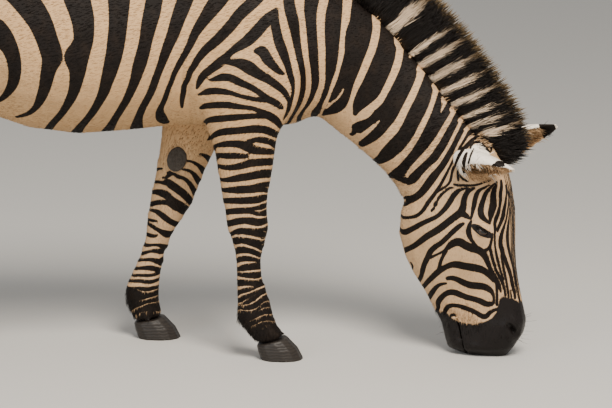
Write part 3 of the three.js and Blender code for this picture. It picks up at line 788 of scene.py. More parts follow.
# %% [markdown]
# The camera sees the inner side of the further foreleg, set back under the body.
# %% Strokes of the further foreleg
FAR_FORE_DARK = [
    [(200,154,0.6), (205,155.5,1.6), (209,159,2), (212,166,1.6)],
    [(186,160.5,0.9), (192,161.6,1), (198,165,1.5), (202,169,2.2), (207,176,2.4)],
    [(183,169.5,0.9), (188,170.2,1.1), (193,173.3,1.7), (197,178.5,2.4), (202,188,2)],
    [(168,173,1.2), (174,174,1.2), (178,176.5,1.7), (183,178,1.5), (188,181.5,1.8), (192,187,2.1), (195,193,1.9),
     (198,200,1.2)],
    [(148,173,0.6), (155,171,0.7), (158,169,0.8), (162.5,168.5,0.6)],
    [(163,177.5,0.8), (166,177.5,1), (169,175,1.8), (170,172.5,1.5)],
    [(144,181,0.8), (153.5,182,1), (158,181.8,1.1), (163,182.7,1.6), (168,182.5,3.4), (172,185.3,3.9),
     (178,189.5,3.7), (184,194.2,3.6), (189,199.7,3), (194,206,2.5)],
    [(142,193,0.8), (151,192.5,1), (156,192,2.2), (162,193,3.4), (167,195.5,3.8), (171,199.5,3.4), (175,203,4.2),
     (181,207.5,5.2), (186,211.5,4.4), (192,217,4)],
    [(141,207,1), (149,205,1.5), (154,203.3,2), (160,202.2,2.2), (166,202.5,2.3), (171,204,3), (176,207,3.8)],
    [(141,209,0.7), (148.5,209.7,0.8), (153,210.5,1.4), (158,212.2,2.3), (163,216,2.9), (168,219.9,2.7),
     (174,223.2,2.7), (179,224.5,2.8), (188,223,2.6)],
    [(140,219,0.8), (148,219.5,1), (152,220.5,1.3), (156.5,221,0.9)],
    [(141,221,1), (148,223.5,1.4), (152,226,1.9), (157,229.2,1.8), (162,232,2.4), (167,234,3.6), (172,233.8,3),
     (181,231,2)],
    [(137,233,0.8), (145,233.5,1), (149,235,1.8), (154,236,1.4), (157,235,0.8)],
    [(133,241,1.2), (142,243.5,1.7), (147,245.2,1.3), (153,244.9,0.9), (159,245,1.2), (164,246.5,2.2), (175,248,2.5)],
    [(130,255,0.8), (138.5,254,0.8), (144,253,1), (150,251.3,1), (156,250.8,1.8), (161,251.3,2.4), (166,249.5,3),
     (175,247,2)],
    [(128,260,0.6), (136,260,0.7), (143,259.7,0.8), (150,259.6,1.2), (155,260.5,1.9), (160,262.2,2.3),
     (164,264.5,2.2), (173,267,2)],
    [(161,259.5,1.4), (166,256.8,1.1), (175,253,1)],
    [(124,268.5,0.8), (133,268.5,0.8), (139,268.3,1), (145,268,1.6), (151,268,2.1), (156,269,2), (161,271,2.4),
     (171,272,2)],
    [(124,276,0.8), (134,275.5,0.9), (140,275.3,1.1), (147,275.5,1.2), (153,274.9,1.3), (158,273,1.6), (163,270,1.5)],
    [(123,281,1.2), (133,281,1.3), (140,281,1.5), (147,281.8,1.8), (153,281.5,1.7), (159,279,1.3), (170,275,1.2)],
    [(116,294,6.5), (136,294,7), (150,293,7), (172,292,8)],
    [(110,307,10), (140,307,10), (175,307,10)],
    [(115,328,16), (145,328,16), (185,328,16)],
]
FAR_FORE_PALE = [
    [(116,285,2.2), (126,284.5,2.1), (133,284,1.8), (140,285,1.3), (147,286.2,1.3), (154,284.7,1.2), (160,281.7,1),
     (170,278,0.9)],
    [(137,289.5,0.4), (142,291.5,0.8), (148,292,0.9), (154,290.3,0.9), (160,288.5,0.7), (170,285,0.7)],
    [(140,300.5,0.5), (146,299.3,0.8), (152,297.5,0.7), (160,295,0.7), (170,292,0.6)],
    [(134,309,0.6), (141,306.5,0.8), (148,303.7,0.7), (157,302,0.7), (168,300,0.6)],
    [(136,314,0.4), (144,312,0.4), (152,311,0.3), (164,310,0.3)],
]
print("strokes on the further foreleg:", len(FAR_FORE_DARK), "dark,", len(FAR_FORE_PALE), "pale")

# %% [markdown]
# The neck's dark bands are broad, and its pale ones are laid between them, so that each edge falls
# where it should.
# %% Strokes of the neck
NECK_DARK = [
    [(286,-14,7), (289.5,0,7), (292.5,20,6.5), (296,40,6), (300,60,5), (303.3,80,4.2), (302.2,95,4.2),
     (298.5,105,3.6), (295,112,2.6), (291,119,1.6), (286,126,1.2)],
    [(313,-14,9), (312,0,9), (311.4,20,8), (312.5,40,7.5), (314.2,60,7), (315.5,80,6), (313.3,93,5), (309.8,102,4.5),
     (304.5,110,3.6), (300.5,117,3), (299,122,2)],
    [(338,-14,10), (336,0,10), (333.3,20,10), (332,40,9), (331,60,8), (328.6,80,6), (325,92,5), (320.7,102,4.5),
     (316.5,110,4), (314,115,3)],
    [(362,-14,11), (360,0,12), (361,20,14), (358.5,40,14), (354,60,12), (347,80,10.5), (341,95,10), (337,104,8.5),
     (330,110,5), (322,114,2)],
    [(391,2,9), (390,15,10), (388,30,10), (386,50,11), (379.5,70,12), (373,85,12), (367,97,12), (360,106,8),
     (356,112,4)],
    [(412,38,8), (409,58,9.5), (405,75,11), (399,90,12), (393,103,12), (385,115,12), (374,124,9), (363,127,7),
     (356,128,5), (352,133,3)],
    [(384,122,8), (377,132,6.5), (369,139,5), (362,144,3.5)],
    [(434,64,6), (429,78,8), (425,90,9.5), (421,102,10), (416,113,10), (410,124,10), (403,135,10), (397,144,9),
     (389,152,8), (381,159,5), (374,162,3)],
    [(447,82,6), (443,97,8), (441,110,9), (437,121,10), (431,132,9), (425,143,8), (418,152,7), (411,161,6.5),
     (404,168,6.5), (397,173,5), (391,176,3)],
    [(396,177,3), (404,179,4.6), (410,181,3.6), (415,178,4)],
    [(462,106,4), (454,121,5), (450,130,5.5), (445,140,5.5), (440,149,5.5), (434,157,5), (427,163,5.5),
     (420,170,5.5), (414,177,5), (408,181,4)],
    [(468,117,3), (461.5,130,4), (456,140,4), (451.5,149,3.8), (447,157,3.8), (443,164,4), (438,170,4.2),
     (433,177,4.5), (428,184,4.5), (422,191,4.5), (415,196,4.8), (408,199.5,4.5), (402,204,3.5), (396,206,3)],
    [(486,127,2), (481,129.5,2.2), (476,130,2), (471,131,1.9), (467.5,135,1.7), (464.5,139.5,1.8), (461.3,144.5,1.8),
     (457.8,150.5,1.6), (455.3,155.5,1.2), (452.8,161,1.2), (450,166.5,1.2), (447.3,172,1.2), (444.5,177.5,1.5),
     (441.3,183.5,1.5), (437.5,189.5,1.7), (433.5,195.5,2), (429,201,2.3), (425,207.5,2.1), (421,212.5,1.8),
     (416,216,1.7), (410,217.3,1.5), (403,217.3,1.5), (396,216,1.2)],
]
NECK_PALE = [
    [(279,-14,5), (280,2,3.6), (281.3,10,3.2), (283,20,4), (285.5,30,4.3), (288.2,40,4.1), (291,50,3.6),
     (293.4,60,3.5), (296,70,3.5), (298,80,3), (297.6,90,2.8), (296,98,2.8), (294,105,2.5), (291.5,112,2),
     (288,119,1.7), (284,125,1.5)],
    [(299.5,-14,6), (299.5,0,5.4), (300.3,10,4.1), (302,20,3.5), (303,30,3.6), (303.9,40,3.6), (305,50,3.4),
     (306.4,60,3), (308,70,3), (308.7,80,3.1), (308.2,90,3), (306,98,2.9), (303,105,2.5), (298.5,112,2.1),
     (294.5,118,1.8), (290,125,1.5)],
    [(325,-14,5.5), (324,0,5), (321.6,10,4.9), (320.8,20,4.6), (320.8,30,4.3), (321.2,40,4.1), (321.8,50,4),
     (322,60,3.8), (322.3,70,3.6), (322.3,80,3.3), (321.2,87,3.2), (319,93,3.4), (316.3,100,3.5), (312.5,106,3.6),
     (307.5,112,3.5), (303,119,2.5)],
    [(348.5,-14,5.5), (347.5,0,5.2), (346.7,10,4.7), (345.7,20,4.5), (343.7,28,3.3), (342.6,36,2.7), (342,45,3.1),
     (341.6,52,3.3), (340.3,60,2.9), (338.3,68,2.5), (336.5,75,2.5), (333.8,82,2.6), (331,90,2.1), (328.3,97,2.1),
     (325,104,2.3), (322.5,110,1.7), (320,117,1.3)],
    [(343.5,89,0.9), (341,94,1.5), (337,99,1.4), (333,102,1.5), (330,104.5,1.7), (326,108,1.5)],
    [(373,2,4), (374.5,9,3.6), (376,18,4.1), (376.5,28,4.1), (375,38,4.4), (372.5,48,4.5), (369,57,4.5),
     (365.3,66,4.4), (361.5,74,3.9), (358,82,3.7), (354.8,90,3.3), (352.3,98,2.7), (350,105,3.2), (349,111,4.5),
     (347,118,6), (343,125,7), (340,132,7)],
    [(330,118,2), (338,120,4.5), (345,124,6), (348,130,4.5)],
    [(391,12,5), (394,22,4.5), (396,28,3.3), (398,34,2.8), (399.5,42,3.1), (399.7,50,3.7), (399,57,3.9),
     (397.2,65,4.1), (394.6,72,4.1), (391.3,79,4.2), (388,86,4.1), (384.5,92.5,3.9), (381,99,4.1), (375.5,104.5,4.4),
     (369,109.5,4.2), (362,114.2,3.9), (357.5,117.5,2.6)],
    [(412.3,56,0.8), (412.5,52,1.8), (413,47,2.6), (416,42,3.5)],
    [(380,120.3,0.7), (375,125,1.9), (370,129.5,2.5), (364.5,134,2.9), (358.5,138.5,3.2), (352,143,3)],
    [(427,57,4), (423,63,3.2), (422,70,3.2), (419.8,78,3.6), (416.5,86,3.8), (412.5,95,4), (408.3,103.5,4.1),
     (404,111.5,4.2), (400.5,119,4.5), (396,127,4.7), (391,133,4.9), (385.5,138.5,4.9), (379.5,144.5,5.3),
     (373.5,150.5,5.8), (367,157,6)],
    [(441,72,3.8), (437.5,78,2.2), (436.7,87,2.6), (434.3,96,2.6), (431.5,105,2.6), (428.5,113,2.9), (424.5,121,3.2),
     (420.5,129,3.3), (416.5,137,3.2), (413,143.5,2.8), (409.5,149.5,2.6), (404.5,154,3.7), (399,159,4.6),
     (393,164.5,4.8), (385,170,4.5)],
    [(451,86.5,3.2), (447.5,91,1.9), (446.5,97,2), (444.5,104,1.7), (442,109.5,1.1), (441,112.5,0.4)],
    [(461,99.5,3.2), (456.7,104.5,2.4), (452.8,113,2.4), (448.5,121,2.6), (444,128.5,2.8), (439.5,136.5,2.9),
     (434.8,143.5,3.3), (429.8,150.5,3.5), (424.5,156.5,3.6), (418.5,162.5,3.3), (413,168,2.9), (408.5,173.5,2.3),
     (407,176.5,1.5)],
    [(468,112.5,2.4), (463,118,1.6), (459.5,124.5,1.8), (455.5,132.5,1.8), (451.5,140.5,1.8), (447.3,148.5,1.8),
     (442.8,155.5,1.9), (438.5,162,2.1), (433.5,167,2.8), (428.5,172,3), (424,177.5,3.2), (419.5,183.5,3.6),
     (414,188.5,4.6), (408,190.5,5.8), (400,190,5.8)],
    [(405,200,1.8), (402,200.5,2.2), (398,200,2.2)],
    [(474.5,122.5,2.6), (469,127,1.6), (465,133,1.7), (461.3,140,1.6), (458,146,1.5), (454.6,152.5,1.2),
     (451.3,159,1.3), (447.8,165.5,1.5), (444.2,171.5,1.7), (440.8,177,1.8), (437,183,2), (432.8,189.5,2.3),
     (428.5,194.5,2.7), (423.5,200,3.4), (417,206,4.7), (410,210.5,5), (401,211.5,4.4)],
]
print("strokes on the neck:", len(NECK_DARK), "dark,", len(NECK_PALE), "pale")

# %% [markdown]
# The head's strokes are the finest. They fan out from the eye and the cheek and run down to the nose. One short stroke
# is painted shadow under the rim of the nearer ear.
# %% Strokes of the head
HEAD_DARK = [
    [(466.5,153,1), (464.8,158,1.5), (463.6,163,1.6), (463.4,168,1.4), (464,172.5,0.9)],
    [(459.5,175,0.6), (463,179,0.8), (468,181.5,0.6)],
    [(473.5,149,0.5), (470.5,156,0.6), (468.5,163,0.6), (467,170,0.5)],
    [(491,151,0.6), (491.3,147,1.2), (489.5,143,2), (486,140.5,1.7), (482,138,1.5), (477.5,137,1.4), (473.5,139,1.5),
     (470.5,141.5,1.7), (467,145.5,2), (463.5,149.3,2), (460,154,1.6), (457,160,1.2), (455.2,165,1), (453,169,1),
     (451.8,173.5,0.9), (451,178,0.9), (449.5,182.5,0.9), (446,186.3,0.8), (441.5,189,0.9), (437,192.3,0.8)],
    [(470,148.5,0.6), (472,144.5,0.8), (475.5,142,0.8), (479.5,143,0.9), (483.5,146,0.9), (487,149.3,0.8),
     (490,152,0.6)],
    # Painted shadow: this stroke darkens the hair under the rim of the nearer ear's opening.
    [(481.5,168,0.5), (485,166.7,0.9), (490,165.8,1), (495,165,1.2), (499,163.5,1.6), (503,165,1.2)],
    [(457.5,166,0.4), (457.7,171,0.8), (457.9,176,0.9), (458.4,180.5,0.7)],
    [(454,184.3,0.6), (458,185.3,1), (464,185.3,0.9), (471,185.5,0.8), (477,184.7,0.7), (482,183.2,0.6),
     (487,181.3,0.6), (491,180,0.5)],
    [(453,187.7,0.5), (450,187.9,0.8), (447,189.7,0.9), (442.5,193.5,1.2), (439,197.5,1.2), (437.5,200.5,0.8)],
    [(436.5,202,1.2), (435.5,204.3,2)],
    [(434,208,1), (431.5,210.8,1)],
    [(397,224,1), (399.5,228,1.4), (402,231.5,2.2), (406,231.8,2.6), (411,229.5,2.5), (416,226.8,2.4), (423,223,2.2),
     (430,219.8,2), (436,217,1.8), (441,213,1.9), (446,207.5,2.2), (450,201.5,2.4), (453.5,195.7,2.4),
     (457.5,191.5,1.9), (462,189.2,1), (468,188.2,0.6)],
    [(400,259,1), (403,254,1.3), (404.8,250.5,2.3), (409,248.5,2.3), (415,245.3,2.5), (421,240.8,2.8), (427,236.3,3),
     (433,232.8,3.1), (439,229,3.2), (444,225.3,3.2), (450,220.6,3.2), (456,216,3.3), (461,212,3.6), (463.3,206,3),
     (464,200,2.6), (466,194.5,2.3), (469,190.5,1.9), (474,188.3,1)],
    [(462,213,3.2), (466,215.8,2.3), (470,218.5,0.8)],
    [(411,263,0.6), (412.5,266.5,0.9), (412,270,0.8)],
    [(418,282,1.8), (421,276.5,2.1), (422.5,270.5,2.4), (424.5,264,2.5), (427.5,257.5,2.6), (430.5,251.5,2.7),
     (435,247,2.4), (441,243,2.2), (446,238.5,2.2), (450,234.5,2.2), (455,229.8,2.2), (459.5,226,2),
     (463.5,223.6,1.1)],
    [(430,258,1), (437,254.5,0.8), (441,252.5,0.8), (445,250.3,1.3), (448.5,247,2.4), (453,243.4,3.4), (459,242,3.8),
     (465,245,3.8), (471,248,3.6), (477,249.5,3.6), (482,252.5,3.4), (485,256.5,2.8), (486.8,260.5,2.3),
     (488.7,265,2), (491,270,1.7), (492.8,275,2.5), (495.8,280,2.3), (498.3,285,2.1), (500,289,1.1), (501,292,0.5)],
    [(445.5,251,2), (443,256,1.5), (440.5,262,1.4), (439.5,267,1.6), (439,271,2.2)],
    [(420,290,1.8), (424.5,285.5,2), (428,281.5,2.2), (432.5,277,2.4), (437,272.7,2.7), (441.5,269.5,2.5),
     (446.5,266.7,2.4), (452,264.8,2.8), (458,264.8,3.4), (465,266.2,3.3), (472,267.4,3.6), (479,268.8,3.4),
     (485,271.5,3), (490,275.5,2.7), (494,280,2.3)],
    [(427,301,2), (430.5,295,2.4), (433.5,290.5,2.2), (437,286.5,1.7), (441,284.2,1.3), (446,283.4,0.8)],
    [(447.5,278.5,1.7), (452,278,2.1), (457,279.3,2.3), (463,282.3,2.8), (470,285,3.1), (477,285.8,3.2),
     (484,286.8,3), (489,289.3,2.6), (492.2,292.7,1.6), (493.6,297,0.9), (494,302,0.9)],
    [(496.5,286,1), (496.9,292,1), (497,298,1), (497,305,1)],
    [(436,314,1), (438,308,1.7), (438,303,2.4), (440.5,298.5,2.5), (444.5,294.7,2.3), (449.5,292.3,2.6),
     (455,292.6,2.7), (461,295,2.6), (467,297.3,2.5), (474,299,2.4), (480,301,2.6), (486,303.8,2.6), (491,304,2.1),
     (494,302.5,1)],
    [(442,326,1), (443.5,319,1.7), (444.7,312.5,2), (446.8,307.8,2), (451,305.5,1.8), (457,305.6,1.6),
     (463,307.2,1.9), (470,309.6,2), (476,312.5,2), (482,316.2,2.2), (486.3,316.3,2.2), (489.5,312.8,1.8),
     (494,310.2,1.3), (498,309,1)],
    [(449,317,1), (453,314.5,1.3), (456.5,315.7,0.7)],
    [(471,221,0.8), (469.3,226,1.8), (468.4,231.5,2.4), (469.5,236,2.2), (471.5,240,1.5), (474,243.5,1.3),
     (477,247,1.5)],
    [(492.3,234,0.8), (491.7,239,1), (490.6,244,1.1), (488.5,248.6,1.3), (485,250.5,1.6)],
    [(471,219,0.6), (472.5,212,1.4), (474,205,2), (475.5,198,2.1), (477.3,193,1.8), (480.5,189.6,1.2),
     (485,187.4,0.8), (489,185.2,0.5)],
    [(490,223.5,0.7), (486,220.5,1.6), (482,216.5,2.6), (480.5,211,2.8), (481.8,204.5,2.4), (483.8,198.5,2),
     (486,193,1.8), (489,189.2,1.2), (492,186,0.8), (494.5,183.5,0.5)],
    [(490,222,0.8), (490.6,217.5,1.9), (491.3,212.5,3.1), (493.3,205.5,3.4), (493.3,199.5,2.8), (493.3,194.5,2.6),
     (494.3,190,2), (495.8,186,1.3), (496.7,182,0.8)],
    [(495.3,229.5,1.2), (494.8,224,1.3), (496,218.5,1.6), (498,213.5,1.6), (499,209.5,1.1), (500,205,1),
     (500.6,199,1.3), (500.6,193,1.5), (501.5,187,1.4), (501.2,181,0.9)],
    [(497.5,231,0.8), (499,226.5,1.3), (501.7,220.5,1.5), (503.3,215,1.7), (504,210,1.6), (505.2,204.5,1.2),
     (506,199,0.9), (506.6,193,0.7), (505.8,186,0.5)],
    [(505.2,259,1.7), (503.3,254.5,1.9), (502.2,250,2.1), (500.6,245,2), (500.6,240,1.9), (501.5,235,1.6),
     (503,230,1.3), (504.6,225,0.9), (506.2,219.5,0.7), (507.4,213,0.6), (508.3,206,0.7), (508.8,198,0.6),
     (509,190,0.5)],
    [(503.5,254,1.5), (505.2,259,1.7), (507,264.5,1.7), (509,270,1.7), (510.8,276,1.6), (512,282,1.6),
     (513.2,288,1.4), (514.5,293,1.2), (515,298,1)],
    [(501.5,255,1), (501.9,259,0.8), (502.8,264,0.9), (504,270,1), (505.3,276,1), (506.5,282,0.9), (507.5,288,0.8),
     (508.3,293,0.8), (508.7,298,0.8)],
    [(509.6,209,0.5), (509.3,215,0.6), (509,221,0.8), (508.2,227,1.1), (507.5,233,1.4), (507.5,240,1.5),
     (508.3,246,1.4), (509.5,252,1.3), (511,259,1), (512.6,266,0.8), (514,272,0.7), (515.2,278,0.6), (516.5,284,0.6),
     (518,290,0.6), (519,296,0.6), (520,302,0.8)],
    [(490,245.5,0.7), (490.5,250.5,1.2), (491.5,255,1.3), (492.8,260,1.3), (494.4,265,1.1), (496,270,1.1),
     (498.8,275.5,1.2), (501.5,280,1.5), (503.3,285,1.2), (504.6,290,0.9), (505.4,296,0.8)],
    [(495.2,229,1), (494.7,235,0.7), (494.8,240,0.6), (495,246,0.7), (495.8,251,0.8), (496.7,256,1), (497.9,261,1.1),
     (499.2,266,1), (500.6,271,0.8), (502,275.5,0.8), (503,279,1)],
    [(510.6,290,0.3), (511.5,297,0.5)],
]
print("strokes on the head:", len(HEAD_DARK))

# %% [markdown]
# A stroke is laid on the skin by looking along a straight line from the camera through each of its
# points. Where the line misses, the point keeps the distance of the last one that landed. A stroke
# seen at a slant is really wider than it looks, and its width is put right from the skin's slope.
# %% Lines of sight and smooth curves
SLANT_LEAST = 0.4
RISE = 0.30
MISSED_DEPTH = -0.15
FLANK_RISING = range(1, 8)
NECK_RISING = range(4)
eye_point = np.array(camera.location)


def search_tree(places):
    """The skin, ready for rays to be cast at it, with its points at the given places."""
    faces = [list(face.vertices) for face in skin.data.polygons]
    return BVHTree.FromPolygons([Vector(place) for place in places], faces)


surface = search_tree(points_of(skin.data))


def line_of_sight(right, down):
    """The way from the camera through one point of its view."""
    across = right - VIEW_WIDTH / 2
    up = VIEW_HEIGHT / 2 - down
    level = math.cos(CAMERA_PITCH)
    tilt = math.sin(CAMERA_PITCH)
    return np.array([across, FOCAL_POINTS * level + up * tilt, up * level - FOCAL_POINTS * tilt])


def rounded(rows, parts=3):
    """A smooth curve through the rows, with a few steps between each two of them."""
    padded = np.vstack([2 * rows[0] - rows[1], rows, 2 * rows[-1] - rows[-2]])
    out = []
    for number in range(1, len(padded) - 2):
        before, start, end, after = padded[number - 1:number + 3]
        for step in range(parts):
            t = step / parts
            bend = (2 * before - 5 * start + 4 * end - after) * t ** 2
            twist = (3 * start - before - 3 * end + after) * t ** 3
            out.append(0.5 * (2 * start + (end - before) * t + bend + twist))
    out.append(rows[-1])
    return np.array(out)


# %% [markdown]
# Now the strokes themselves. The first places of some long bands are carried on upwards, past the
# upper edge of the view.
# %% Lay all the strokes
def laid(stroke, rises=False):
    """The stroke's places on the straightened animal, and half its width at each, in metres."""
    found = []
    for right, down, half in rounded(np.array(stroke, dtype=float)):
        sight = line_of_sight(right, down)
        hit, normal, _, reach = surface.ray_cast(Vector(eye_point), Vector(sight).normalized())
        found.append((sight, half, hit, normal))
    depths = [hit.y for _, _, hit, _ in found if hit is not None]
    last = depths[0] if depths else MISSED_DEPTH
    places = []
    widths = []
    for sight, half, hit, _ in found:
        if hit is not None:
            last = hit.y
        travelled = (last - eye_point[1]) / sight[1]
        places.append(eye_point + sight * travelled)
        widths.append(half * travelled)
    places = np.array(places)
    widths = np.array(widths)
    slant = np.ones(len(found))
    for number, (sight, half, hit, normal) in enumerate(found):
        if hit is None:
            continue
        ends = places[min(number + 1, len(places) - 1)] - places[max(number - 1, 0)]
        across = np.cross(np.array(normal), ends)
        across /= max(np.linalg.norm(across), 1e-9)
        view = sight / np.linalg.norm(sight)
        seen = np.linalg.norm(across - view * across.dot(view))
        slant[number] = max(seen, SLANT_LEAST)
    places = straightened(places)
    if rises:
        way = places[0] - places[1]
        way[1] = 0
        way /= np.linalg.norm(way)
        top = places[0] + RISE * (0.5 * way + 0.5 * np.array([0, 0, 1]))
        places = np.vstack([top, places])
        widths = np.concatenate([[widths[0]], widths])
        slant = np.concatenate([[1], slant])
    return np.column_stack([places, widths, widths / slant])


def laid_all(strokes, rising=()):
    return [laid(stroke, number in rising) for number, stroke in enumerate(strokes)]


flank_dark = laid_all(FLANK_DARK, FLANK_RISING)
near_dark = laid_all(NEAR_FORE_DARK)
near_pale = laid_all(NEAR_FORE_PALE)
far_dark = laid_all(FAR_FORE_DARK)
far_pale = laid_all(FAR_FORE_PALE)
neck_dark = laid_all(NECK_DARK, NECK_RISING)
neck_pale = laid_all(NECK_PALE, NECK_RISING)
head_dark = laid_all(HEAD_DARK)
print("the longest stroke has", max(len(stroke) for stroke in neck_dark + neck_pale + head_dark), "places")

# %% [markdown]
# The camera doesn't see the hindquarters, so their bands come from the species. Broad bands sweep
# from the flank back over the haunch, and narrower rings go down the legs.
# %% Bands of the hindquarters
HAUNCH_DARK = [
    [(-0.560, 1.285, 0.006), (-0.60, 1.315, 0.018), (-0.67, 1.330, 0.021), (-0.77, 1.335, 0.020), (-0.90, 1.30, 0.016),
     (-1.02, 1.24, 0.010)],
    [(-0.515, 1.06, 0.030), (-0.555, 1.14, 0.030), (-0.64, 1.21, 0.030), (-0.76, 1.235, 0.027), (-0.89, 1.205, 0.022),
     (-1.08, 1.13, 0.016)],
    [(-0.555, 0.93, 0.030), (-0.610, 1.01, 0.031), (-0.69, 1.08, 0.030), (-0.80, 1.115, 0.028), (-0.93, 1.08, 0.024),
     (-1.08, 1.01, 0.018)],
    [(-0.575, 0.72, 0.008), (-0.600, 0.82, 0.020), (-0.66, 0.91, 0.029), (-0.75, 0.98, 0.029), (-0.86, 0.985, 0.026),
     (-0.96, 0.945, 0.022), (-1.08, 0.90, 0.018)],
    [(-0.600, 0.62, 0.006), (-0.640, 0.72, 0.018), (-0.71, 0.81, 0.026), (-0.80, 0.860, 0.026), (-0.89, 0.855, 0.024),
     (-0.98, 0.815, 0.020), (-1.08, 0.79, 0.018)],
    [(-0.640, 0.56, 0.006), (-0.690, 0.64, 0.018), (-0.77, 0.72, 0.023), (-0.86, 0.740, 0.022), (-0.97, 0.70, 0.018),
     (-1.08, 0.68, 0.016)],
    [(-0.660, 0.49, 0.008), (-0.730, 0.565, 0.016), (-0.81, 0.62, 0.019), (-0.89, 0.62, 0.018), (-1.08, 0.58, 0.014)],
    [(-0.660, 0.44, 0.008), (-0.750, 0.50, 0.014), (-0.84, 0.535, 0.016), (-0.95, 0.52, 0.012)],
]
TRUNK_MIDDLE = 0.92
TRUNK_HALF_HEIGHT = 0.30
TRUNK_HALF_WIDTH = 0.25
SPINE_LINE = (0.014, 0.004)
SPINE_ENDS = (-0.95, 0.08)
SPINE_ZONE = (-1.0, 1.1)
DOCK_BARS = (1.13, 1.09, 1.055, 1.02, 0.985, 0.955, 0.925)
DOCK_BAR_HALF = 0.009
DOCK_FRONT = ((0.77, 0.95, 1.04, 1.11), (-1.046, -1.026, -1.004, -0.981))
DOCK_HALF_WIDTH = 0.045
DOCK_ENDS = (0.70, 1.12)
DOCK_DARK_BELOW = 0.92
RING_HALF = 0.0115
RING_SHRINKS = 0.0004
RING_SLOPES = (-0.012, 0.02)
RING_HEIGHTS = [0.452, 0.412, 0.374, 0.338, 0.304, 0.272, 0.242, 0.214, 0.188, 0.164, 0.142]
haunch_dark = []
for band in HAUNCH_DARK:
    haunch_dark.append(rounded(np.array([(x, 0, z, half, half) for x, z, half in band])))
for number, height in enumerate(RING_HEIGHTS):
    half = RING_HALF - RING_SHRINKS * number
    slope = RING_SLOPES[number % 2]
    ring = [(-1.1, 0, height - slope, half * 0.6, half), (-0.80, 0, height, half, half),
            (-0.45, 0, height + slope, half * 0.7, half)]
    haunch_dark.append(rounded(np.array(ring)))
foot = [(-1.1, 0, 0.085, 0.045, 0.045), (-0.4, 0, 0.085, 0.045, 0.045)]
haunch_dark.append(np.array(foot))
print("bands of the hindquarters:", len(haunch_dark))


def unrolled(points):
    """Above its middle the rump's height is measured round its curve, so bands keep their width."""
    above = (points[:, 2] - TRUNK_MIDDLE) / TRUNK_HALF_HEIGHT
    angle = np.arctan2(above, np.abs(points[:, 1]) / TRUNK_HALF_WIDTH)
    flat = points.copy()
    flat[:, 2] = np.where(points[:, 2] > TRUNK_MIDDLE, TRUNK_MIDDLE + TRUNK_HALF_HEIGHT * angle, points[:, 2])
    return flat


def on_dock(points, top):
    """True on the tail's dock, up to a height."""
    x, y, z = points.T
    return (x < np.interp(z, *DOCK_FRONT)) & (np.abs(y) < DOCK_HALF_WIDTH) & (z > DOCK_ENDS[0]) & (z < top)


def tail_and_spine(points, value):
    """A narrow line along the spine and short bars down the tail."""
    x, y, z = points.T
    on_spine = (z > SPINE_ZONE[1]) & (x < SPINE_ENDS[1]) & (x > SPINE_ZONE[0])
    spine = np.interp(x, SPINE_ENDS, SPINE_LINE) - np.abs(y)
    value = np.where(on_spine, np.maximum(value, spine), value)
    dock = on_dock(points, DOCK_ENDS[1])
    bars = np.max([DOCK_BAR_HALF - np.abs(z - height) for height in DOCK_BARS], axis=0)
    value = np.where(dock, bars, value)
    return np.where(dock & (z < DOCK_DARK_BELOW), np.maximum(value, DOCK_DARK_BELOW - z), value)


# %% [markdown]
# Each point of the coat gets one number: how far inside a dark band it lies, in metres, below zero
# where the hair is pale. Trunk and legs are judged in side view, which carries a band right round
# the limb. On the head the full distance in space is used.
# %% Work out the pattern
FAR = 0.030


def lay_on(value, points, strokes, dark, where, in_side_view=True):
    """Joins the strokes to the pattern, or cuts them out of it, where the mask allows."""
    scale = np.array([1.0, 0.0 if in_side_view else 1.0, 1.0])
    flat = points * scale
    for stroke in strokes:
        centre = stroke[:, :3] * scale
        if not in_side_view:
            centre[:, 1] = np.abs(centre[:, 1])
        half = stroke[:, 3] if in_side_view else stroke[:, 4]
        margin = half.max() + FAR
        close = where.copy()
        for axis in (0, 1, 2):
            close &= (flat[:, axis] > centre[:, axis].min() - margin)
            close &= (flat[:, axis] < centre[:, axis].max() + margin)
        chosen = np.nonzero(close)[0]
        if len(chosen) == 0:
            continue
        spots = flat[chosen]
        best = np.full(len(chosen), -FAR)
        for number in range(len(centre) - 1):
            start = centre[number]
            run = centre[number + 1] - start
            share = np.clip(((spots - start) @ run) / max(run @ run, 1e-12), 0, 1)
            gap = np.linalg.norm(spots - start - share[:, None] * run, axis=1)
            best = np.maximum(best, half[number] + share * (half[number + 1] - half[number]) - gap)
        if dark:
            value[chosen] = np.maximum(value[chosen], best)
        else:
            value[chosen] = np.minimum(value[chosen], -best)


# %% [markdown]
# Each ear is dark in a band before its tip. Behind it is white and inside it is pale, so the pattern
# has to know which side of the ear a point is on. The first two numbers say where the band starts and
# ends, and the third is 1 where the band goes on inside the ear.
# %% The ears' bands
EAR_BANDS = {"right": (0.74, 0.90, 0), "left": (0.78, 0.965, 1)}
EAR_SPAN = (0.04, 1.1)
EAR_SIZE = 1.25
BEHIND = (-0.40, -0.28)
OUTER_WALL = (0.88, 0.95)
EAR_PALE = 0.010


def on_ears(points):
    """For each ear: which points lie on it, how far along, and how far behind its middle."""
    for side in EARS:
        base, run, across, opens = ear_frame(side)
        length = np.linalg.norm(run)
        away = points - base
        share = away @ run / length ** 2
        sideways = away @ across
        outward = away @ opens
        width = np.interp(share, EAR_STATIONS, EAR_HALF_WIDTHS)
        size = np.hypot(sideways / width, outward / (width * EAR_DEPTH))
        on_ear = (share > EAR_SPAN[0]) & (share < EAR_SPAN[1]) & (size < EAR_SIZE)
        yield side, length, on_ear, share, outward / np.maximum(width, 1e-3), size


def ear_pattern(points, value):
    """Ears are white behind, with a dark band before the white tip. Inside they are pale or dark."""
    for side, length, on_ear, share, outward, size in on_ears(points):
        first, last, inside_too = EAR_BANDS[side]
        band = length * (0.5 * (last - first) - np.abs(share - 0.5 * (first + last)))
        behind = np.maximum(ramp(-outward, *BEHIND) * ramp(size, *OUTER_WALL), inside_too)
        band = band * behind - EAR_PALE * (1 - behind)
        value = np.where(on_ear, np.maximum(value, np.clip(band, -FAR, FAR)), value)
    return value


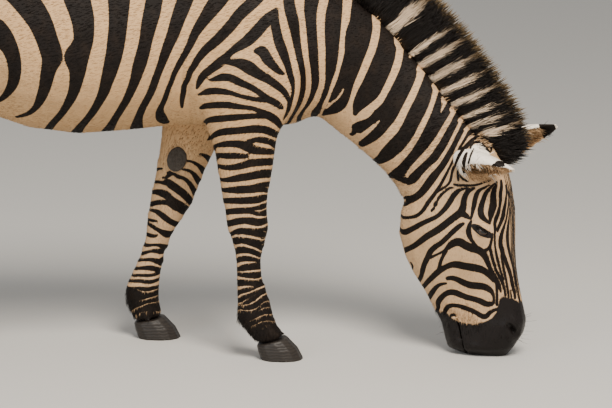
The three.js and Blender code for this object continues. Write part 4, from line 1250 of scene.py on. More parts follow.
# %% [markdown]
# Narrow lines run down the front of the face from the forehead to the nose, side by side.
# %% Lines on the front of the face
FACE_LINES = (0.0, 0.0125, 0.0250)
FACE_LINE_HALF = 0.0044
FACE_TOP = 0.550
FACE_BOTTOM = 0.165
FACE_STEPS = 14
FACE_NARROWS = 0.25
FACE_WAVE = 0.0012
straight_surface = search_tree(straight_skin)
face_dark = []
for offset in FACE_LINES:
    line = []
    for step in range(FACE_STEPS + 1):
        share = step / FACE_STEPS
        height = FACE_TOP + share * (FACE_BOTTOM - FACE_TOP)
        level = offset * (1.0 - FACE_NARROWS * share) + FACE_WAVE * math.sin(9 * share + 90 * offset)
        hit = straight_surface.ray_cast(Vector((1.2, level, height)), Vector((-1, 0, 0)))[0]
        half = FACE_LINE_HALF * min(1, 0.1 + 4 * share + 20 * offset * share, 0.2 + 5 * (1 - share))
        line.append((hit.x, hit.y, hit.z, half, half))
    face_dark.append(np.array(line))
print("lines on the face:", len(face_dark), "of", len(line), "places")

# %% [markdown]
# All the strokes come together here. Each set of strokes has its own zone, so that a band of the
# flank doesn't cross a leg. Bands come out a little narrow where tufts lie over their edges, and a
# small amount is added to make up for it. The further leg's outer side has plain bands of its own.
# %% Put the pattern together
FAR_OUTER_HEIGHTS = (0.395, 0.432, 0.470, 0.508, 0.547, 0.588)
FAR_LEG_OUTSIDE = 0.145
FAR_OUTSIDE_LOWEST = 0.36
FAR_LEG_ZONE = (-0.30, 0.62)
FORELEG_BACK = -0.15
FORELEG_FRONT = 0.45
SHOULDER_ZONE = (0.58, 0.80)
BODY_LOWEST = 0.55
BODY_FRONT = 0.5
HIND_FRONT = -0.35
NECK_BACK = 0.1
FACE_BACK = 0.70
ALL_WIDER = 0.0007
LEG_WIDER = 0.0006
CANNON_WIDER = 0.0010
CANNON_PLACE = (0.235, 0.045)
FLANK_WIDER = 0.0008
FLANK_FADE = ((0.0, 0.2), (0.50, 0.60))
HEAD_WIDER = 0.0014
far_outer = [rounded(np.array([(-0.30, 0, height - 0.020, 0.006, 0.006), (-0.06, 0, height, 0.0125, 0.0125),
                               (0.16, 0, height + 0.008, 0.009, 0.009)])) for height in FAR_OUTER_HEIGHTS]
print("bands on the further leg's outer side:", len(far_outer))


def pattern_at(points):
    """The pattern's number at each place of the straightened animal."""
    folded = mirrored(points)
    value = np.full(len(points), -FAR)
    x, y, z = points.T
    shoulder = (z < SHOULDER_ZONE[1]) & (x > FORELEG_BACK) & (x < FORELEG_FRONT)
    near_fore = (y < 0) & shoulder
    far_shoulder = (y >= 0) & shoulder & (z > SHOULDER_ZONE[0])
    far_fore = (y >= 0) & (z < FAR_LEG_ZONE[1]) & (x > FAR_LEG_ZONE[0]) & (x < FORELEG_FRONT)
    far_outside = far_fore & (y > FAR_LEG_OUTSIDE) & (z > FAR_OUTSIDE_LOWEST)
    lay_on(value, unrolled(folded), haunch_dark, True, x < HIND_FRONT)
    lay_on(value, folded, flank_dark, True, (z > BODY_LOWEST) & (x < BODY_FRONT))
    value = tail_and_spine(points, value)
    for strokes, dark, where in (
            (neck_dark, True, x > NECK_BACK), (neck_pale, False, x > NECK_BACK),
            (near_dark, True, near_fore | far_shoulder), (near_pale, False, near_fore),
            (far_dark, True, far_fore), (far_pale, False, far_fore), (far_outer, True, far_outside)):
        lay_on(value, folded, strokes, dark, where)
    cannon = np.exp(-((z - CANNON_PLACE[0]) / CANNON_PLACE[1]) ** 2)
    value += ALL_WIDER + (x < FORELEG_FRONT) * (LEG_WIDER + CANNON_WIDER * cannon)
    value += FLANK_WIDER * (1 - ramp(x, *FLANK_FADE[0])) * ramp(z, *FLANK_FADE[1])
    for _, _, on_ear, _, _, _ in on_ears(points):
        value[on_ear] = -FAR
    on_head = np.full(len(points), -FAR)
    lay_on(on_head, folded, head_dark, True, x > FORELEG_FRONT, in_side_view=False)
    value = np.maximum(value, on_head + HEAD_WIDER * (on_head > -FAR))
    lay_on(value, folded, face_dark, True, x > FACE_BACK, in_side_view=False)
    return ear_pattern(points, value)


# %% [markdown]
# An edge of a band is sharp only where the squares are small. So every skin edge whose middle is
# judged wrongly from its two ends is split, and the new points are judged again.
# %% Sharpen the pattern
SHARPNESS = 0.0009
SHARPEN_ROUNDS = 2
SHORTEST_EDGE = 0.003


def set_number(mesh, name, values):
    layer = mesh.attributes.get(name) or mesh.attributes.new(name, "FLOAT", "POINT")
    layer.data.foreach_set("value", np.broadcast_to(values, len(mesh.vertices)).astype(np.float32))


def sharpened(mesh, straight, value):
    """Splits the edges that the band's edge crosses out of true, and counts them."""
    edges = edges_of(mesh)
    ends = value[edges]
    length = np.linalg.norm(straight[edges[:, 0]] - straight[edges[:, 1]], axis=1)
    close = (np.abs(ends).min(axis=1) < length) & (length > SHORTEST_EDGE)
    chosen = np.nonzero(close)[0]
    middle = straight[edges[chosen]].mean(axis=1)
    error = np.abs(pattern_at(middle) - ends[chosen].mean(axis=1))
    split = np.isin(np.arange(len(edges)), chosen[error > SHARPNESS])
    split_edges(mesh, split)
    return split.sum()


straight = straightened(points_of(skin.data))
pattern = pattern_at(straight)
for number in range(SHARPEN_ROUNDS):
    count = sharpened(skin.data, straight, pattern)
    straight = straightened(points_of(skin.data))
    pattern = pattern_at(straight)
    print("sharpening split", count, "edges, now", len(skin.data.polygons), "faces")
set_number(skin.data, "pattern", pattern)

# %% [markdown]
# A tuft that lies over the edge of a band would carry its root's colour across and blur the edge. So
# the skin also keeps how fast the number changes, and each tuft works out its own number from that.
# The same is done later for the edge of the bare skin.
# %% Slope of the pattern
SLOPE_MOST = 120


def set_vectors(mesh, name, values):
    layer = mesh.attributes.get(name) or mesh.attributes.new(name, "FLOAT_VECTOR", "POINT")
    layer.data.foreach_set("vector", np.asarray(values, dtype=np.float32).ravel())


def slope_of(mesh, value):
    """The change of a number per metre at each point, fitted to the edges that meet there."""
    places = points_of(mesh)
    edges = edges_of(mesh)
    count = len(places)
    run = places[edges[:, 1]] - places[edges[:, 0]]
    rise = value[edges[:, 1]] - value[edges[:, 0]]

    def gathered(amount):
        return np.bincount(edges[:, 0], amount, count) + np.bincount(edges[:, 1], amount, count)

    moments = np.empty((count, 3, 3))
    sums = np.empty((count, 3))
    for row in range(3):
        sums[:, row] = gathered(run[:, row] * rise)
        for column in range(3):
            moments[:, row, column] = gathered(run[:, row] * run[:, column])
    outward = normals_of(mesh)
    stiff = np.trace(moments, axis1=1, axis2=2)[:, None, None] + 1e-9
    moments += outward[:, :, None] * outward[:, None, :] * stiff + 1e-6 * stiff * np.eye(3)
    slope = np.linalg.solve(moments, sums[:, :, None])[:, :, 0]
    steep = np.linalg.norm(slope, axis=1)
    return slope * np.minimum(1, SLOPE_MOST / np.maximum(steep, 1e-6))[:, None]


set_vectors(skin.data, "pattern_slope", slope_of(skin.data, pattern))
set_vectors(skin.data, "root_place", points_of(skin.data))
print("steepest change", round(float(np.linalg.norm(slope_of(skin.data, pattern), axis=1).max())), "per metre")

# %% [markdown]
# The skin gets a flat map of itself. Each tuft will later take its colour from a small patch of this
# map, at the place where it is rooted.
# %% Unwrap the skin
UNWRAP_ANGLE = math.radians(60)
ISLAND_GAP = 0.003


def unwrapped(made):
    for chosen in bpy.context.selected_objects:
        chosen.select_set(False)
    bpy.context.view_layer.objects.active = made
    made.select_set(True)
    bpy.ops.object.mode_set(mode="EDIT")
    bpy.ops.mesh.select_all(action="SELECT")
    bpy.ops.uv.smart_project(angle_limit=UNWRAP_ANGLE, island_margin=ISLAND_GAP)
    bpy.ops.object.mode_set(mode="OBJECT")
    made.data.uv_layers.active.name = "root_map"
    made.select_set(False)


unwrapped(skin)
print("map of the skin:", [layer.name for layer in skin.data.uv_layers])

# %% [markdown]
# More numbers on the skin tell its colour. The first is dark bare skin round the lips, the nostrils
# and the lids. Its edge on the muzzle is a row of places in the camera's view.
# %% Bare skin
MUZZLE_EDGE = [
    (446, 312), (452, 318), (459, 321.5), (466, 323), (474, 324), (484, 322), (492, 318), (496.5, 312),
    (498, 306), (499.5, 299), (503, 296.5), (512, 298), (519, 302), (527, 304),
]
BARE_FADE = 0.010
LID_DARK_LENGTH = 0.034
LID_DARK_HEIGHT = 0.0125
LID_DARK_FADE = (0.80, 1.15)
LID_DARK_AHEAD = 0.002
MUZZLE_BACK = 0.55
edge_places = np.array([laid([(right, down, 0.0), (right + 0.5, down, 0.0)])[0]
                        for right, down in MUZZLE_EDGE])
edge_order = np.argsort(edge_places[:, 0])


def bare_at(points):
    """1 where dark skin shows through: the muzzle and the rims of the lids."""
    folded = mirrored(points)
    x, _, z = folded.T
    line = np.interp(x, edge_places[edge_order, 0], edge_places[edge_order, 2])
    muzzle = (1 - ramp(z, line - BARE_FADE, line + BARE_FADE)) * (x > MUZZLE_BACK)
    along, above = eye_plane(points)
    almond = np.hypot((along - LID_DARK_AHEAD) / LID_DARK_LENGTH, above / LID_DARK_HEIGHT)
    lid = (1 - ramp(almond, *LID_DARK_FADE)) * (distance_to(points, EYE_PLACE) < 1.3 * LID_DARK_LENGTH)
    return np.clip(np.maximum(muzzle, lid), 0, 1)


bare = bare_at(straight)
set_number(skin.data, "bare", bare)
set_vectors(skin.data, "bare_slope", slope_of(skin.data, bare))
print("bare points:", int((bare > 0.5).sum()), "of", len(bare))


# %% [markdown]
# Pale hair is warmer on the trunk than on the face and the feet, and white behind the ears. Low on the trunk it is
# made warmer and darker as painted shade under the belly. On the nearer side the white behind the ear is widened,
# partly real white hair and partly a painted highlight where light falls on it. The skin inside an ear is told from
# the skin behind it by the direction it faces.
# %% Warmth of the hair
def side_ways(straight, way):
    """Turns directions of the straight animal into those of the turned one."""
    along, angle, _, _ = CURVE
    heading = np.interp(straight[:, 0], along, angle)
    out = way.copy()
    out[:, 0] = way[:, 0] * np.cos(heading) + way[:, 1] * np.sin(heading)
    out[:, 1] = -way[:, 0] * np.sin(heading) + way[:, 1] * np.cos(heading)
    return out


def facing_in(points, side):
    """True where the skin of an ear looks into the ear, by its outward direction."""
    base, run, _, _ = ear_frame(side)
    share = (points - base) @ run / (run @ run)
    radial = points - base - share[:, None] * run
    return (normals_of(skin.data) * side_ways(points, radial)).sum(axis=1) < 0


# White strokes on the back of the nearer ear and its root, on that side only: partly real white hair, partly a painted
# highlight where light falls on the ear's back.
NEAR_EAR_WHITE_AND_HIGHLIGHT = [(473.5, 148, 3.2), (480, 148, 4.0), (487, 153, 3.0), (492, 158, 2.5)]
WARM_BASE = 0.45
WARM_TRUNK = 0.27
# Extra warmth low on the trunk, which darkens the hair there as painted shade under the belly.
WARM_UNDER_SHADE = 0.08
WARM_EAR = 0.5
WHITE = -1.0
EAR_TIP_STARTS = 0.93


def warmth_at(points):
    """How warm the pale hair is: little on the face and feet, more on the trunk, a little more low on it as painted
    shade under the belly, below 0 for white.
    """
    x, _, z = points.T
    trunk = (1 - ramp(x, 0.15, 0.60)) * ramp(z, 0.30, 0.75)
    # Painted shade: warmer, darker hair low on the trunk and at the tops of the forelegs, under the belly.
    under_shade = (1 - ramp(z, 0.58, 0.74)) * (1 - ramp(x, 0.20, 0.40)) * ramp(z, 0.45, 0.58)
    warm = WARM_BASE + WARM_TRUNK * trunk + WARM_UNDER_SHADE * under_shade
    for side, _, on_ear, share, _, _ in on_ears(points):
        inside = facing_in(points, side) & (share < EAR_TIP_STARTS)
        warm[on_ear] = np.where(inside, WARM_EAR, WHITE)[on_ear]
    # Partly real white hair and partly painted highlight: the nearer ear's back is whitened on that side only.
    white = np.full(len(points), -FAR)
    near_side = (points[:, 0] > 0.6) & (points[:, 1] < 0)
    lay_on(white, mirrored(points), [laid(NEAR_EAR_WHITE_AND_HIGHLIGHT)], True, near_side, in_side_view=False)
    return np.where(white > 0, WHITE, warm)


set_number(skin.data, "warm", warmth_at(straight))
print("warm colours are set on", len(straight), "points")

# %% [markdown]
# Materials are built from small helpers, each of which adds a node or two and returns the socket
# that carries the result.
# %% Material helpers
def node(tree, kind, **values):
    made = tree.nodes.new(kind)
    for key, value in values.items():
        setattr(made, key, value)
    return made


def new_material(name, roughness, specular=0.3):
    material = bpy.data.materials.new(name)
    material.use_nodes = True
    shader = material.node_tree.nodes["Principled BSDF"]
    shader.inputs["Roughness"].default_value = roughness
    shader.inputs["Specular IOR Level"].default_value = specular
    return material, material.node_tree, shader


def enabled(sockets, name):
    """The one socket of that name that is in use."""
    return [socket for socket in sockets if socket.name == name and socket.enabled][0]


def mixed(tree, share, first, second):
    """A colour between two others. Each of the three may be a socket or a plain value."""
    mix = node(tree, "ShaderNodeMix", data_type="RGBA")
    for name, value in (("Factor", share), ("A", first), ("B", second)):
        socket = enabled(mix.inputs, name)
        if isinstance(value, bpy.types.NodeSocket):
            tree.links.new(value, socket)
        else:
            socket.default_value = value
    return enabled(mix.outputs, "Result")


def spread(tree, value, low, high):
    """Turns the range from low to high into 0 to 1."""
    share = node(tree, "ShaderNodeMapRange")
    share.inputs["From Min"].default_value = low
    share.inputs["From Max"].default_value = high
    tree.links.new(value, share.inputs["Value"])
    return share.outputs["Result"]


def number_of(tree, name):
    return node(tree, "ShaderNodeAttribute", attribute_name=name).outputs["Fac"]


def noise_of(tree, scale, detail, stretch=(1, 1, 1)):
    place = node(tree, "ShaderNodeTexCoord").outputs["Object"]
    mapping = node(tree, "ShaderNodeMapping")
    mapping.inputs["Scale"].default_value = stretch
    noise = node(tree, "ShaderNodeTexNoise")
    noise.inputs["Scale"].default_value = scale
    noise.inputs["Detail"].default_value = detail
    tree.links.new(place, mapping.inputs["Vector"])
    tree.links.new(mapping.outputs["Vector"], noise.inputs["Vector"])
    return noise.outputs["Fac"]


def summed(tree, value, other, times):
    """value + times * (other - 0.5)"""
    product = node(tree, "ShaderNodeMath", operation="MULTIPLY_ADD")
    tree.links.new(other, product.inputs[0])
    product.inputs[1].default_value = times
    product.inputs[2].default_value = -0.5 * times
    total = node(tree, "ShaderNodeMath", operation="ADD")
    tree.links.new(value, total.inputs[0])
    tree.links.new(product.outputs[0], total.inputs[1])
    return total.outputs[0]


def bumped(tree, shader, height, strength, depth):
    bump = node(tree, "ShaderNodeBump")
    bump.inputs["Strength"].default_value = strength
    bump.inputs["Distance"].default_value = depth
    tree.links.new(height, bump.inputs["Height"])
    tree.links.new(bump.outputs["Normal"], shader.inputs["Normal"])


# %% [markdown]
# Hair colour comes from the pattern number. Just at zero it changes from pale to dark over less
# than a millimetre, and fine noise makes the line as ragged as hair.
# %% Coat material
PALE_HAIR = (0.48, 0.325, 0.195, 1)
PALE_HAIR_LIGHT = (0.70, 0.50, 0.32, 1)
WARM_HAIR = (0.50, 0.295, 0.125, 1)
WHITE_HAIR = (0.86, 0.79, 0.69, 1)
DARK_HAIR = (0.0065, 0.0042, 0.003, 1)
DARK_HAIR_BROWN = (0.013, 0.008, 0.005, 1)
BARE_SKIN = (0.010, 0.008, 0.0075, 1)
EDGE_SOFTNESS = 0.0008
HAIR_ROUGHNESS = 0.62
BARE_ROUGHNESS = 0.36
EDGE_RAGGEDNESS = 0.0028
FINE_GRAIN = 420
WIDE_GRAIN = 9
BROWN_GRAIN = 30
BARE_GRAIN = 160
COAT_BUMP = (0.5, 0.0012)


def coat_material(name, ragged):
    material, tree, shader = new_material(name, HAIR_ROUGHNESS, 0.15)
    fine = noise_of(tree, FINE_GRAIN, 2, (1, 1, 0.35))
    wide = noise_of(tree, WIDE_GRAIN, 3)
    edge = number_of(tree, "pattern")
    if ragged:
        edge = summed(tree, edge, fine, EDGE_RAGGEDNESS)
    cool = mixed(tree, wide, PALE_HAIR, PALE_HAIR_LIGHT)
    warm = number_of(tree, "warm")
    pale = mixed(tree, summed(tree, warm, wide, 0.4), cool, WARM_HAIR)
    pale = mixed(tree, spread(tree, warm, -0.1, -0.8), pale, WHITE_HAIR)
    browned = spread(tree, noise_of(tree, BROWN_GRAIN, 3), 0.45, 0.75)
    dark = mixed(tree, browned, DARK_HAIR, DARK_HAIR_BROWN)
    hair = mixed(tree, spread(tree, edge, -EDGE_SOFTNESS, EDGE_SOFTNESS), pale, dark)
    bare = summed(tree, number_of(tree, "bare"), noise_of(tree, BARE_GRAIN, 3), 0.5)
    bare = spread(tree, bare, 0.35, 0.65)
    colour = mixed(tree, bare, hair, BARE_SKIN)
    tree.links.new(colour, shader.inputs["Base Color"])
    gloss = node(tree, "ShaderNodeMapRange")
    gloss.inputs["To Min"].default_value = HAIR_ROUGHNESS
    gloss.inputs["To Max"].default_value = BARE_ROUGHNESS
    tree.links.new(bare, gloss.inputs["Value"])
    tree.links.new(gloss.outputs["Result"], shader.inputs["Roughness"])
    bumped(tree, shader, fine, *COAT_BUMP)
    return material


coat = coat_material("coat", True)
tuft_coat = coat_material("tuft_coat", False)
print("the coat's material has", len(coat.node_tree.nodes), "nodes")


def shaded_smooth(made, material):
    made.data.materials.clear()
    made.data.materials.append(material)
    made.data.polygons.foreach_set("use_smooth", [True] * len(made.data.polygons))


shaded_smooth(skin, coat)
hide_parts(*flesh_names)
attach(skin, "root")

# %% [markdown]
# The eyes are balls with a brown iris and a wide level pupil. Two numbers on each point tell its
# angle from the middle of the gaze, level and upright.
# %% Eyes
PUPIL_COLOUR = (0.001, 0.001, 0.0012, 1)
IRIS_COLOURS = ((0.030, 0.014, 0.006, 1), (0.075, 0.034, 0.012, 1))
EYE_RIM_COLOUR = (0.016, 0.011, 0.009, 1)
GAZE = np.array([0.38, 0.90, -0.12])
IRIS_ANGLE = 0.62
PUPIL_LEVEL = 0.42
PUPIL_UPRIGHT = 0.20
CORNEA_RISE = 0.0012


def eye_material():
    material, tree, shader = new_material("eye", 0.07, 0.45)
    iris = spread(tree, number_of(tree, "off_gaze"), IRIS_ANGLE - 0.04, IRIS_ANGLE + 0.06)
    pupil = spread(tree, number_of(tree, "off_pupil"), 0.95, 1.10)
    streaks = noise_of(tree, 500, 2)
    inner = mixed(tree, pupil, PUPIL_COLOUR, mixed(tree, streaks, *IRIS_COLOURS))
    tree.links.new(mixed(tree, iris, inner, EYE_RIM_COLOUR), shader.inputs["Base Color"])
    shader.inputs["Coat Weight"].default_value = 0.3
    shader.inputs["Coat Roughness"].default_value = 0.02
    return material


eye_look = eye_material()
for side, sign in (("right", -1), ("left", 1)):
    flip = np.array([1, sign, 1])
    ends = turned(np.array([EYE_PLACE * flip, (EYE_PLACE + 0.01 * GAZE) * flip]))
    gaze = Vector(ends[1] - ends[0]).normalized()
    mesh = bpy.data.meshes.new("eyeball_" + side)
    with editing(mesh) as work:
        bmesh.ops.create_uvsphere(work, u_segments=48, v_segments=32, radius=EYE_RADIUS)
    ball = points_of(mesh) / EYE_RADIUS
    off = np.arccos(np.clip(ball[:, 2], -1, 1))
    rise = CORNEA_RISE * (1 - ramp(off, 0.0, IRIS_ANGLE * 1.15))
    world = np.array(Vector((0, 0, 1)).rotation_difference(gaze).to_matrix())
    level_way = np.cross([0, 0, 1], np.array(gaze))
    level_way /= np.linalg.norm(level_way)
    placed = (ball * (EYE_RADIUS + rise)[:, None]) @ world.T
    level = placed @ level_way / EYE_RADIUS
    upright = placed @ np.cross(np.array(gaze), level_way) / EYE_RADIUS
    set_points(mesh, placed + ends[0])
    front = np.where(off < 1.5, 1.0, 9.0)
    set_number(mesh, "off_gaze", off)
    set_number(mesh, "off_pupil", np.hypot(level / PUPIL_LEVEL, upright / PUPIL_UPRIGHT) * front)
    made = new_object("eyeball_" + side, mesh)
    shaded_smooth(made, eye_look)
    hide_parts("eye_" + side)
    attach(made, "root")
    print(made.name, "looks along", [round(part, 2) for part in gaze])

# %% [markdown]
# Hooves are remade in fine squares too, but their soles are pressed flat again afterwards. Rings of
# growth run round the wall, closer together near the coronet.
# %% Hooves
HOOF_CELL = 0.0032
HOOF_SMOOTHING = 6
SOLE_FLAT = 0.0035
RING_SCALE = 38
HORN_COLOURS = ((0.008, 0.0065, 0.0055, 1), (0.024, 0.019, 0.015, 1))
DUST_COLOUR = (0.030, 0.024, 0.019, 1)


def hoof_material():
    material, tree, shader = new_material("hoof", 0.5, 0.35)
    rings = node(tree, "ShaderNodeTexWave", wave_type="BANDS", bands_direction="Z")
    for name, value in (("Scale", RING_SCALE), ("Distortion", 4.5), ("Detail", 2), ("Detail Scale", 1.5)):
        rings.inputs[name].default_value = value
    tree.links.new(node(tree, "ShaderNodeTexCoord").outputs["Object"], rings.inputs["Vector"])
    streaks = noise_of(tree, 120, 4, (1, 1, 0.08))
    grey = mixed(tree, streaks, *HORN_COLOURS)
    dusty = mixed(tree, spread(tree, rings.outputs["Fac"], 0.2, 1.4), grey, DUST_COLOUR)
    tree.links.new(dusty, shader.inputs["Base Color"])
    bumped(tree, shader, summed(tree, rings.outputs["Fac"], streaks, 0.8), 0.35, 0.0010)
    return material


hoof_look = hoof_material()
for name in sorted(n for n in nodes if n.endswith("hoof")):
    made = remeshed(name.replace("_hoof", "") + "_horn", [name], HOOF_CELL)
    smooth(made.data, HOOF_SMOOTHING)
    places = points_of(made.data)
    places[:, 2] = np.where(places[:, 2] < SOLE_FLAT, 0.0, places[:, 2])
    set_points(made.data, places)
    shaded_smooth(made, hoof_look)
    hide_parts(name)
    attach(made, "root")
    print(made.name, len(made.data.polygons), "faces")


# %% [markdown]
# A chestnut is a small crusty pad of horn on the inner side of each foreleg.
# %% Chestnuts
CRUST_COLOURS = ((0.016, 0.013, 0.011, 1), (0.10, 0.085, 0.07, 1))
CHESTNUT_SMOOTHING = 8


def chestnut_material():
    material, tree, shader = new_material("chestnut", 0.8, 0.2)
    crust = noise_of(tree, 150, 4)
    tree.links.new(mixed(tree, crust, *CRUST_COLOURS), shader.inputs["Base Color"])
    bumped(tree, shader, crust, 0.8, 0.003)
    return material


chestnut_look = chestnut_material()
for name in ("chestnut_right", "chestnut_left"):
    made = remeshed(name + "_horn", [name], HOOF_CELL)
    smooth(made.data, CHESTNUT_SMOOTHING)
    shaded_smooth(made, chestnut_look)
    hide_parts(name)
    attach(made, "root")
    print(made.name, len(made.data.polygons), "faces")

# %% [markdown]
# Tufts of hair repeat one small spike thousands of times. The spike starts at nothing, runs one unit
# along its own first axis and arches a little, so it hugs the body. It is closed on all sides.
# %% One spike of hair
SPIKE_TAPER = 0.6


def spike(name, rings, arch, flat=1.0):
    """A closed three-sided spike, one unit long and one unit wide, with its map in leaf_map."""
    corners = [(-0.5, -0.15 * flat), (0.5, -0.15 * flat), (0.0, 0.35 * flat)]
    mesh = bpy.data.meshes.new(name)
    work = bmesh.new()
    loops = []
    for ring in range(rings):
        along = ring / rings
        size = 1 - SPIKE_TAPER * along ** 1.5
        lift = arch * 4 * along * (1 - along)
        loops.append([work.verts.new((along, y * size, z * size + lift)) for y, z in corners])
    tip = work.verts.new((1, 0, 0))
    for first, second in zip(loops, loops[1:]):
        for number in range(3):
            after = (number + 1) % 3
            work.faces.new((first[number], first[after], second[after], second[number]))
    for number in range(3):
        work.faces.new((loops[-1][number], loops[-1][(number + 1) % 3], tip))
    work.faces.new(loops[0][::-1])
    bmesh.ops.recalc_face_normals(work, faces=work.faces[:])
    bmesh.ops.triangulate(work, faces=work.faces[:])
    work.to_mesh(mesh)
    work.free()
    made = bpy.data.objects.new(name, mesh)
    places = points_of(mesh)
    set_vectors(mesh, "leaf_map", places * (1, 1, 0))
    return made


short_spike = spike("short_spike", 2, 0.3, 0.5)
long_spike = spike("long_spike", 4, 1.2)
print("spikes have", len(short_spike.data.polygons), "and", len(long_spike.data.polygons), "faces")

# %% [markdown]
# A tree of geometry nodes plants the spikes. It scatters points on a surface, turns a spike at each
# along the lie of the hair, sizes it by numbers carried on the surface, and makes it all real mesh.
# %% Node tree for the tufts
SIZE_LEAST = 0.70
SIZE_MOST = 1.25


def tuft_tree():
    tree = bpy.data.node_groups.new("tufts", "GeometryNodeTree")
    for name, kind in (("Geometry", "NodeSocketGeometry"), ("Spike", "NodeSocketObject"),
                       ("Density", "NodeSocketFloat"), ("Stray", "NodeSocketFloat"), ("Seed", "NodeSocketInt"),
                       ("Material", "NodeSocketMaterial")):
        tree.interface.new_socket(name, in_out="INPUT", socket_type=kind)
    tree.interface.new_socket("Geometry", in_out="OUTPUT", socket_type="NodeSocketGeometry")
    link = tree.links.new
    given = node(tree, "NodeGroupInput").outputs

    def carried(name, kind="FLOAT"):
        made = node(tree, "GeometryNodeInputNamedAttribute", data_type=kind)
        made.inputs["Name"].default_value = name
        return enabled(made.outputs, "Attribute")

    def vector_math(operation, first, second):
        made = node(tree, "ShaderNodeVectorMath", operation=operation)
        link(first, made.inputs[0])
        link(second, made.inputs[3] if operation == "SCALE" else made.inputs[1])
        return made.outputs["Vector"]

    def times(first, second):
        made = node(tree, "ShaderNodeMath", operation="MULTIPLY")
        link(first, made.inputs[0])
        link(second, made.inputs[1])
        return made.outputs[0]

    def chance(kind, low, high, shift):
        made = node(tree, "FunctionNodeRandomValue", data_type=kind)
        enabled(made.inputs, "Min").default_value = low
        enabled(made.inputs, "Max").default_value = high
        seed = node(tree, "ShaderNodeMath", operation="ADD")
        link(given["Seed"], seed.inputs[0])
        seed.inputs[1].default_value = shift
        link(seed.outputs[0], enabled(made.inputs, "Seed"))
        return enabled(made.outputs, "Value")

    scatter = node(tree, "GeometryNodeDistributePointsOnFaces")
    link(given["Geometry"], scatter.inputs["Mesh"])
    link(times(carried("hair_density"), given["Density"]), enabled(scatter.inputs, "Density"))
    link(given["Seed"], scatter.inputs["Seed"])
    outward = carried("outward", "FLOAT_VECTOR")
    rising = vector_math("SCALE", outward, carried("hair_rise"))
    stray = vector_math("SCALE", chance("FLOAT_VECTOR", (-1, -1, -1), (1, 1, 1), 1), given["Stray"])
    way = vector_math("ADD", vector_math("ADD", carried("lie", "FLOAT_VECTOR"), rising), stray)
    turn = node(tree, "FunctionNodeAxesToRotation", primary_axis="X", secondary_axis="Z")
    link(way, turn.inputs["Primary Axis"])
    link(outward, turn.inputs["Secondary Axis"])
    length = times(carried("hair_length"), chance("FLOAT", SIZE_LEAST, SIZE_MOST, 2))
    width = times(carried("hair_width"), chance("FLOAT", SIZE_LEAST, SIZE_MOST, 3))
    size = node(tree, "ShaderNodeCombineXYZ")
    for name, value in (("X", length), ("Y", width), ("Z", width)):
        link(value, size.inputs[name])
    shape = node(tree, "GeometryNodeObjectInfo", transform_space="ORIGINAL")
    link(given["Spike"], shape.inputs["Object"])
    plant = node(tree, "GeometryNodeInstanceOnPoints")
    link(scatter.outputs["Points"], plant.inputs["Points"])
    link(shape.outputs["Geometry"], plant.inputs["Instance"])
    link(turn.outputs["Rotation"], plant.inputs["Rotation"])
    link(size.outputs["Vector"], plant.inputs["Scale"])
    real = node(tree, "GeometryNodeRealizeInstances")
    link(plant.outputs["Instances"], real.inputs["Geometry"])
    look = node(tree, "GeometryNodeSetMaterial")
    link(real.outputs["Geometry"], look.inputs["Geometry"])
    link(given["Material"], look.inputs["Material"])
    link(look.outputs["Geometry"], node(tree, "NodeGroupOutput").inputs["Geometry"])
    return tree


TUFTS = tuft_tree()
print("the tuft tree has", len(TUFTS.nodes), "nodes")

# %% [markdown]
# Planting runs the tree on a copy of the surface and keeps the result as a plain mesh. Each tuft
# gets a patch three thousandths wide on the flat map, at the place of its root.
# %% Plant the tufts
PATCH = 0.003
PIECE_LIMIT = 200000
FLOOR_GAP = 0.0005
EDGE_FOLLOW = 0.9


def vectors_of(mesh, name, width=3):
    return read(mesh.attributes[name].data, "vector", width)


def numbers_of(mesh, name):
    return read(mesh.attributes[name].data, "value", 1)[:, 0]


def planted(name, surface, spike_shape, density, stray, seed, material, follows=False):
    made = new_object(name, surface.data.copy())
    modifier = made.modifiers.new("tufts", "NODES")
    modifier.node_group = TUFTS
    values = {"Spike": spike_shape, "Density": density, "Stray": stray, "Seed": seed, "Material": material}
    for item in TUFTS.interface.items_tree:
        if item.item_type == "SOCKET" and item.in_out == "INPUT" and item.name in values:
            modifier[item.identifier] = values[item.name]
    baked(made)
    mesh = made.data
    places = points_of(mesh)
    places[:, 2] = np.maximum(places[:, 2], FLOOR_GAP)
    set_points(mesh, places)
    leaf = vectors_of(mesh, "leaf_map")
    patch = vectors_of(mesh, "root_map", 2) + PATCH * leaf[:, :2]
    set_number(mesh, "along", leaf[:, 0])
    for kind in ("pattern", "bare") if follows else ():
        change = (vectors_of(mesh, kind + "_slope") * (places - vectors_of(mesh, "root_place"))).sum(axis=1)
        set_number(mesh, kind, numbers_of(mesh, kind) + EDGE_FOLLOW * change)
    corner = read(mesh.loops, "vertex_index", 1, np.int32)[:, 0]
    for old in ("root_map", "leaf_map", "lie", "outward", "pattern_slope", "bare_slope", "root_place",
                "hair_density", "hair_length", "hair_width", "hair_rise"):
        if mesh.attributes.get(old):
            mesh.attributes.remove(mesh.attributes[old])
    for layer in list(mesh.uv_layers):
        mesh.uv_layers.remove(layer)
    bake_map = mesh.uv_layers.new(name="OFBake")
    bake_map.data.foreach_set("uv", patch[corner].astype(np.float32).ravel())
    mesh.polygons.foreach_set("use_smooth", [True] * len(mesh.polygons))
    print(name, len(mesh.polygons), "triangles")
    if len(mesh.polygons) >= PIECE_LIMIT:
        raise ValueError(name + " has too many triangles")
    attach(made, "root")


# %% [markdown]
# The coat is short and lies back along the trunk, down the legs and down the face. It is longest
# under the belly and behind the fetlocks, and shortest on the face and feet.
# %% Lie and length of the coat
def unit(rows):
    return rows / np.maximum(np.linalg.norm(rows, axis=1), 1e-9)[:, None]


